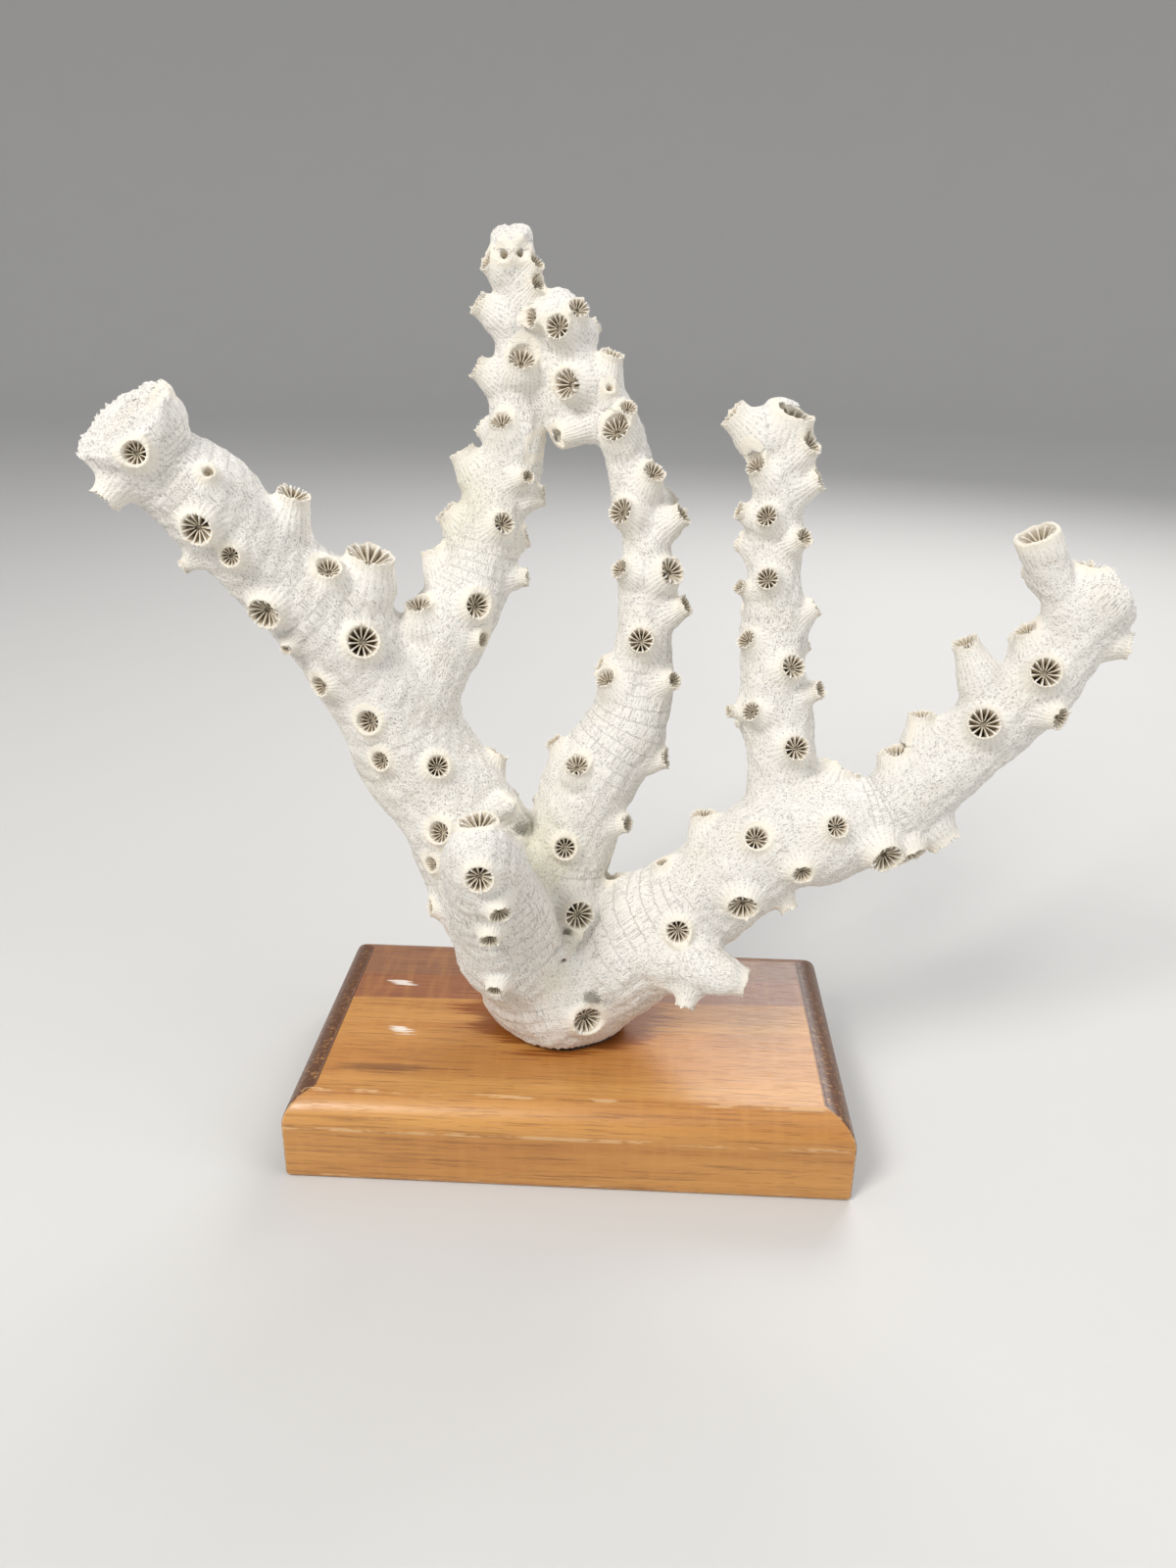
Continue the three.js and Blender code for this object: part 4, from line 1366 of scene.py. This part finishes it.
def add_piece(mesh, slot, *nodes):
    piece = bpy.data.objects.new(mesh.name, mesh)
    scene.collection.objects.link(piece)
    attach(piece, "root")
    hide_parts(*nodes)
    return piece


for number, limb in enumerate(limbs):
    piece = add_piece(limb_mesh(limb, number), "coral", limb.name)
    triangles = sum(len(face.vertices) - 2 for face in piece.data.polygons)
    print(piece.name, "has", triangles, "triangles")


# %% [markdown]
# ## The block
#
# The stand is one piece of open-grained brown board. A router has rounded its four top edges, and
# the curves meet at the corners in mitres. Its lower edges are only eased. A cube with bevels would
# do, but rings of points stacked up the block put the mitres and the worn corners just where they
# are wanted.

# %% Block mesh
def mesh_of_rings(name, rings, closed_below=True):
    """A skin over rings of points given from the bottom up, with flat ends."""
    mesh = bmesh.new()
    rows = [[mesh.verts.new(point) for point in ring] for ring in rings]
    for lower, upper in zip(rows, rows[1:]):
        for i in range(len(lower)):
            j = (i + 1) % len(lower)
            mesh.faces.new((lower[i], lower[j], upper[j], upper[i])).smooth = True
    mesh.faces.new(rows[-1])
    if closed_below:
        mesh.faces.new(list(reversed(rows[0])))
    made = bpy.data.meshes.new(name)
    mesh.to_mesh(made)
    mesh.free()
    return made


block_low, block_high = node_box("wood_block")
BLOCK = (block_high - block_low) / 2
BLOCK_TOP = block_high[2]
ROUNDOVER = 8.0
EASED = 1.4
CORNER = 0.9
EASED_STEPS = 4
WALL_STEPS = 5
CORNER_STEPS = 5
SIDE_STEPS = 24
ARC_STEPS = 14


def block_levels():
    """Height and inset of each ring of points, from the underside to the flat top."""
    levels = []
    for i in range(EASED_STEPS + 1):
        angle = math.pi / 2 * i / EASED_STEPS
        levels.append((EASED * (1 - math.cos(angle)), EASED * (1 - math.sin(angle))))
    for i in range(1, WALL_STEPS):
        levels.append((EASED + (BLOCK_TOP - ROUNDOVER - EASED) * i / WALL_STEPS, 0))
    for i in range(ARC_STEPS + 1):
        angle = math.pi / 2 * i / ARC_STEPS
        height = BLOCK_TOP - ROUNDOVER * (1 - math.sin(angle))
        levels.append((height, ROUNDOVER * (1 - math.cos(angle))))
    return levels


def ring_points(height, inset):
    """A rectangle with small round corners, its points spread along the sides."""
    centre_x, centre_y = BLOCK[0] - inset - CORNER, BLOCK[1] - inset - CORNER
    corners = []
    for sx, sy, start in ((1, 1, 0), (-1, 1, 90), (-1, -1, 180), (1, -1, 270)):
        angles = [math.radians(start + 90 * i / CORNER_STEPS) for i in range(CORNER_STEPS + 1)]
        xs = [sx * centre_x + CORNER * math.cos(angle) for angle in angles]
        ys = [sy * centre_y + CORNER * math.sin(angle) for angle in angles]
        corners.append([Vector((x, y, height)) for x, y in zip(xs, ys)])
    points = []
    for corner, following in zip(corners, corners[1:] + corners[:1]):
        points += corner
        points += [corner[-1].lerp(following[0], i / SIDE_STEPS) for i in range(1, SIDE_STEPS)]
    return [point * MM for point in points]


wood = mesh_of_rings("wooden_block", [ring_points(*level) for level in block_levels()])
print("block of", len(wood.polygons), "faces")


# %% [markdown]
# ## The block's finish
#
# Varnished hardwood is read from its grain, so the grain follows the way the board was sawn: long
# along X, fine across it. On the two ends the same pattern is cut across, shows as flecks, and
# takes far more stain. A board has bands, so a redder band runs along the back. The rest is its
# history: glue that has soaked in round the foot, scribed lines where the router's curve starts,
# arrises worn to bare wood, and two chalky scuffs.

# %% Wood material
HONEY = (0.45, 0.19, 0.044)
PALE_HONEY = (0.60, 0.295, 0.08)
RED_BAND = (0.29, 0.105, 0.042)
GREY_BAND = (0.25, 0.115, 0.058)
AMBER = (0.24, 0.066, 0.010)
END_BROWN = (0.105, 0.040, 0.016)
END_FLECK = (0.42, 0.21, 0.075)
PORE_BROWN = (0.15, 0.055, 0.018)
BARE_WOOD = (0.74, 0.50, 0.27)
CHALK = (0.80, 0.74, 0.66)
ARRIS_X = BLOCK[0] - ROUNDOVER
ARRIS_Y = BLOCK[1] - ROUNDOVER
# Each chalky scuff: its centre and its half lengths along and across the board.
SCUFFS = (((-55, 16), (4.2, 1.5)), ((-50.5, -9), (4.8, 2.0)))


def ellipse(graph, x, y, centre, radii):
    """0 at the centre of an ellipse and 1 on it."""
    across = (x - centre[0]) / radii[0]
    along = (y - centre[1]) / radii[1]
    return (across ** 2 + along ** 2) ** 0.5


def line_at(value, place, half_width):
    """1 where the value is at a place, fading out within half_width."""
    return 1 - abs(value - place).rise(half_width * 0.4, half_width)


def wood_material():
    material, graph = new_material("varnished wood")
    place = object_place(graph)
    x, y, z = graph.separate(place)
    into_end = abs(x) - ARRIS_X
    into_side = abs(y) - ARRIS_Y
    figure = grain(graph, place, (0.006, 0.10, 0.10), 3.0)
    fibre = grain(graph, place, (0.045, 1.3, 1.3), 4.0, 0.6)
    dashes = grain(graph, place, (0.16, 2.4, 2.4), 1.0)
    ripple = grain(graph, place, (0.35, 0.05, 0.05), 2.0)
    top = z.rise(BLOCK_TOP - 0.5, BLOCK_TOP - 0.1)

    side = blend(graph, figure.rise(0.35, 0.68), HONEY, PALE_HONEY)
    band_edge = y - x * 0.027 + (figure - 0.5) * 2
    side = blend(graph, band_edge.rise(8.6, 9.6), side, RED_BAND)
    side = blend(graph, band_edge.rise(21.5, 23.5) * 0.8, side, GREY_BAND)
    side = blend(graph, fibre.rise(0.50, 0.30) * 0.5, side, PORE_BROWN)
    side = blend(graph, fibre.rise(0.55, 0.80) * 0.45, side, PALE_HONEY)
    side = blend(graph, ripple.rise(0.45, 0.7) * 0.18, side, PALE_HONEY)
    side = blend(graph, dashes.rise(0.62, 0.72) * 0.28, side, PORE_BROWN)

    streak = ellipse(graph, x, y, (-52, -27), (15, 1.8)) + (fibre - 0.5) * 1.6
    side = blend(graph, streak.rise(1.1, 0.5) * top * 0.55, side, END_BROWN)
    soak = ellipse(graph, x, y, FOOT_PLACE, (30, 19)) + (fibre - 0.5) * 1.1 + (figure - 0.5) * 0.6
    side = blend(graph, soak.rise(1.02, 0.90) * top * 0.85, side, AMBER)

    flecks = grain(graph, place, (0.5, 1.1, 1.1), 2.0, 0.7)
    end = blend(graph, flecks.rise(0.52, 0.66) * 0.75, END_BROWN, END_FLECK)
    end = blend(graph, dashes.rise(0.56, 0.66) * 0.6, end, PORE_BROWN)
    end = blend(graph, y.rise(-20, 30) * 0.45, end, END_BROWN)
    is_end = into_end.rise(0.1, 0.6) * (into_end - into_side).rise(-0.4, 0.4)
    color = blend(graph, is_end, side, end)

    scribe = line_at(into_end, 0.35, 0.45) * into_side.rise(0.3, -0.3) * 0.75
    color = blend(graph, scribe, color, END_BROWN)
    broken = grain(graph, place, (0.11, 0.6, 0.6), 3.0, 0.6)
    upper_arris = line_at(into_side, 1.4, 0.9) * y.rise(0, -1) * broken.rise(0.50, 0.60)
    lower_arris = line_at(z, BLOCK_TOP - ROUNDOVER, 0.8) * into_side.rise(7.0, 7.7)
    lower_arris = lower_arris * broken.rise(0.42, 0.54)
    mitre = line_at(into_end - into_side, 0, 0.6) * into_end.rise(2.5, 3.5) * broken.rise(0.45, 0.6)
    bottom_arris = line_at(z, 1.0, 1.0) * broken.rise(0.50, 0.62)
    worn = upper_arris.most(lower_arris).most(mitre).most(bottom_arris)
    color = blend(graph, worn * 0.5, color, BARE_WOOD)
    scuffs = []
    for centre, radii in SCUFFS:
        slanted = y + (x - centre[0]) * 0.25
        edge = ellipse(graph, x, slanted, centre, radii) + (fibre - 0.5) * 3.4
        scuffs.append(edge.rise(0.95, 0.6) * top)
    scuff = scuffs[0].most(scuffs[1])
    color = blend(graph, scuff * 0.85, color, CHALK)

    relief = fibre * 0.5 - dashes.rise(0.58, 0.68) * 0.8 + flecks * is_end * 0.6 - scribe * 2
    normal = bumps(graph, relief, 0.12, 0.5)
    roughness = 0.36 + fibre * 0.10 + worn * 0.25 + scuff * 0.4
    roughness = roughness - soak.rise(1.02, 0.90) * top * 0.12
    coat = 0.22 - worn * 0.2 - is_end * 0.05
    sockets = {"Base Color": color, "Roughness": roughness, "Normal": normal}
    finish_with(graph, {**sockets, "Coat Weight": coat, "Coat Roughness": 0.22})
    return material


wood.materials.append(wood_material())
block = add_piece(wood, "wood", "wood_block")
print("wood finish:", len(wood.materials[0].node_tree.nodes), "nodes")


# %% [markdown]
# ## The glue
#
# A black adhesive holds the sawn foot. Pressed out, it makes a thin uneven bead that follows the
# foot's outline. So the bead is made from that outline, found in the coral's own skin, and a slow
# wave round it makes it swell and thin out.

# %% Glue bead
# Each level of the bead: its height above the block and how far it spreads, as a share.
BEAD_STEPS = 120
BEAD_LEVELS = ((0.0, 0.35), (0.2, 0.5), (0.45, 0.4), (0.7, 0.0), (0.8, -0.7))
BEAD_SHOWS_AT = math.radians(232)
GLUE_BLACK = (0.012, 0.010, 0.009)
GLUE_BROWN = (0.05, 0.03, 0.018)


def foot_outline():
    """The foot's radius about FOOT_PLACE, in BEAD_STEPS directions."""
    rim = skin[skin[:, 2] < foot_height + 0.8]
    offset = rim[:, :2] - FOOT_PLACE
    angle = np.arctan2(offset[:, 1], offset[:, 0]) % (2 * np.pi)
    reach = np.hypot(offset[:, 0], offset[:, 1])
    outline = np.zeros(BEAD_STEPS)
    np.maximum.at(outline, (angle / (2 * np.pi) * BEAD_STEPS).astype(int) % BEAD_STEPS, reach)
    for _ in range(3):
        outline = (np.roll(outline, 1) + outline + np.roll(outline, -1)) / 3
    return outline


def bead_mesh():
    outline = foot_outline()
    print("foot radius from", round(outline.min(), 1), "to", round(outline.max(), 1), "mm")
    rings = []
    for height, spread in BEAD_LEVELS:
        ring = []
        for step, reach in enumerate(outline):
            angle = 2 * math.pi * (step + 0.5) / BEAD_STEPS
            wave = 0.45 + 0.55 * math.cos(angle - BEAD_SHOWS_AT)
            wave = wave + 0.2 * math.sin(7 * angle) + 0.15 * math.sin(13 * angle)
            radius = reach - 0.3 + 1.7 * spread * wave
            x = FOOT_PLACE[0] + radius * math.cos(angle)
            y = FOOT_PLACE[1] + radius * math.sin(angle)
            ring.append((x * MM, y * MM, (BLOCK_TOP + height) * MM))
        rings.append(ring)
    return mesh_of_rings("glue_bead", rings)


def glue_material():
    material, graph = new_material("black glue")
    place = object_place(graph)
    blobs = noise(graph, place, 0.8, 2.0)
    color = blend(graph, blobs.rise(0.4, 0.7), GLUE_BLACK, GLUE_BROWN)
    normal = bumps(graph, blobs, 0.3, 0.6)
    finish_with(graph, {"Base Color": color, "Roughness": 0.3 + blobs * 0.3, "Normal": normal})
    return material


bead = bead_mesh()
bead.materials.append(glue_material())
add_piece(bead, "glue", "glue_bed")


# %% [markdown]
# ## Floor, light and camera
#
# The object stands on a plain pale floor under soft studio light: a large soft key from the upper
# left, a broad fill from the right, a low light from behind to lift the edges, and a pale world.

# %% Floor
FLAT_RADIUS = 2.2
COVE_RADIUS = 1.2
WALL_TOP = 3.5
COVE_STEPS = 10
FLOOR_SIDES = 64


def floor_mesh():
    """A round floor that sweeps up into a wall, so that no edge of it shows from any side."""
    profile = [(FLAT_RADIUS + COVE_RADIUS, WALL_TOP)]
    for i in range(COVE_STEPS, -1, -1):
        turn = math.pi / 2 * i / COVE_STEPS
        radius = FLAT_RADIUS + COVE_RADIUS * math.sin(turn)
        profile.append((radius, COVE_RADIUS * (1 - math.cos(turn))))
    profile.append((0.6, 0))
    angles = [2 * math.pi * i / FLOOR_SIDES for i in range(FLOOR_SIDES)]
    rings = []
    for radius, height in profile:
        rings.append([(radius * math.cos(a), radius * math.sin(a), height) for a in angles])
    return mesh_of_rings("floor", rings, closed_below=False)


def floor_material():
    material, graph = new_material("pale floor")
    place = object_place(graph)
    mottle = noise(graph, place, 0.01, 2.0)
    color = blend(graph, mottle * 0.3, (0.60, 0.59, 0.57), (0.64, 0.63, 0.61))
    finish_with(graph, {"Base Color": color, "Roughness": 0.7})
    return material


floor = bpy.data.objects.new("floor", floor_mesh())
floor.data.materials.append(floor_material())
scene.collection.objects.link(floor)
floor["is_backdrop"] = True
print("floor of", len(floor.data.polygons), "faces")


# %% Lights
def soft_light(name, place, aim, size, power, color=(1, 1, 1)):
    data = bpy.data.lights.new(name, "AREA")
    data.shape = "RECTANGLE"
    data.size, data.size_y = size
    data.energy = power
    data.color = color
    light = bpy.data.objects.new(name, data)
    light.location = place
    light.rotation_euler = (Vector(aim) - Vector(place)).to_track_quat("-Z", "Y").to_euler()
    scene.collection.objects.link(light)
    return light


MIDDLE = (0.01, 0, 0.12)
SKY = (0.93, 0.95, 1, 1)
SKY_STRENGTH = 0.68
soft_light("key", (-0.55, -0.75, 0.95), MIDDLE, (0.40, 0.40), 13, (1, 0.985, 0.96))
soft_light("fill", (0.95, -0.45, 0.55), MIDDLE, (0.8, 0.6), 4, (0.97, 0.985, 1))
soft_light("rim", (0.35, 0.85, 0.75), MIDDLE, (0.6, 0.5), 6)
world = bpy.data.worlds.new("studio")
world.use_nodes = True
background = world.node_tree.nodes["Background"]
background.inputs["Color"].default_value = SKY
background.inputs["Strength"].default_value = SKY_STRENGTH
scene.world = world
scene.view_settings.view_transform = "Standard"
print("lights:", [light.name for light in bpy.data.lights])


# %% Camera
CAMERA_PLACE = (16.1, -293.7, 221.4)
YAW, PITCH, ROLL = (math.radians(angle) for angle in (-2.64, 22.51, 0.75))
LENS = 27.0
FULL_FRAME = 36

level = Vector((math.cos(YAW), -math.sin(YAW), 0))
ahead = Vector((math.sin(YAW), math.cos(YAW), 0))
forward = math.cos(PITCH) * ahead - math.sin(PITCH) * Vector((0, 0, 1))
over = level.cross(forward)
right = math.cos(ROLL) * level + math.sin(ROLL) * over
up = math.cos(ROLL) * over - math.sin(ROLL) * level
camera_data = bpy.data.cameras.new("camera")
camera_data.lens = LENS
camera_data.sensor_width = FULL_FRAME
camera_data.clip_start = 0.01
camera = bpy.data.objects.new("camera", camera_data)
turned = Matrix((right, up, -forward)).transposed().to_4x4()
camera.matrix_world = Matrix.Translation(Vector(CAMERA_PLACE) * MM) @ turned
scene.collection.objects.link(camera)
scene.camera = camera
print("camera stands at", [round(value, 3) for value in camera.matrix_world.translation])


# %% Sizes, and the end
size_of_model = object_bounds()
sizes = {"frame": size_of_frame, "model": size_of_model}
{name: [list(corner) for corner in box] for name, box in sizes.items()}
print("model runs from", *size_of_model)
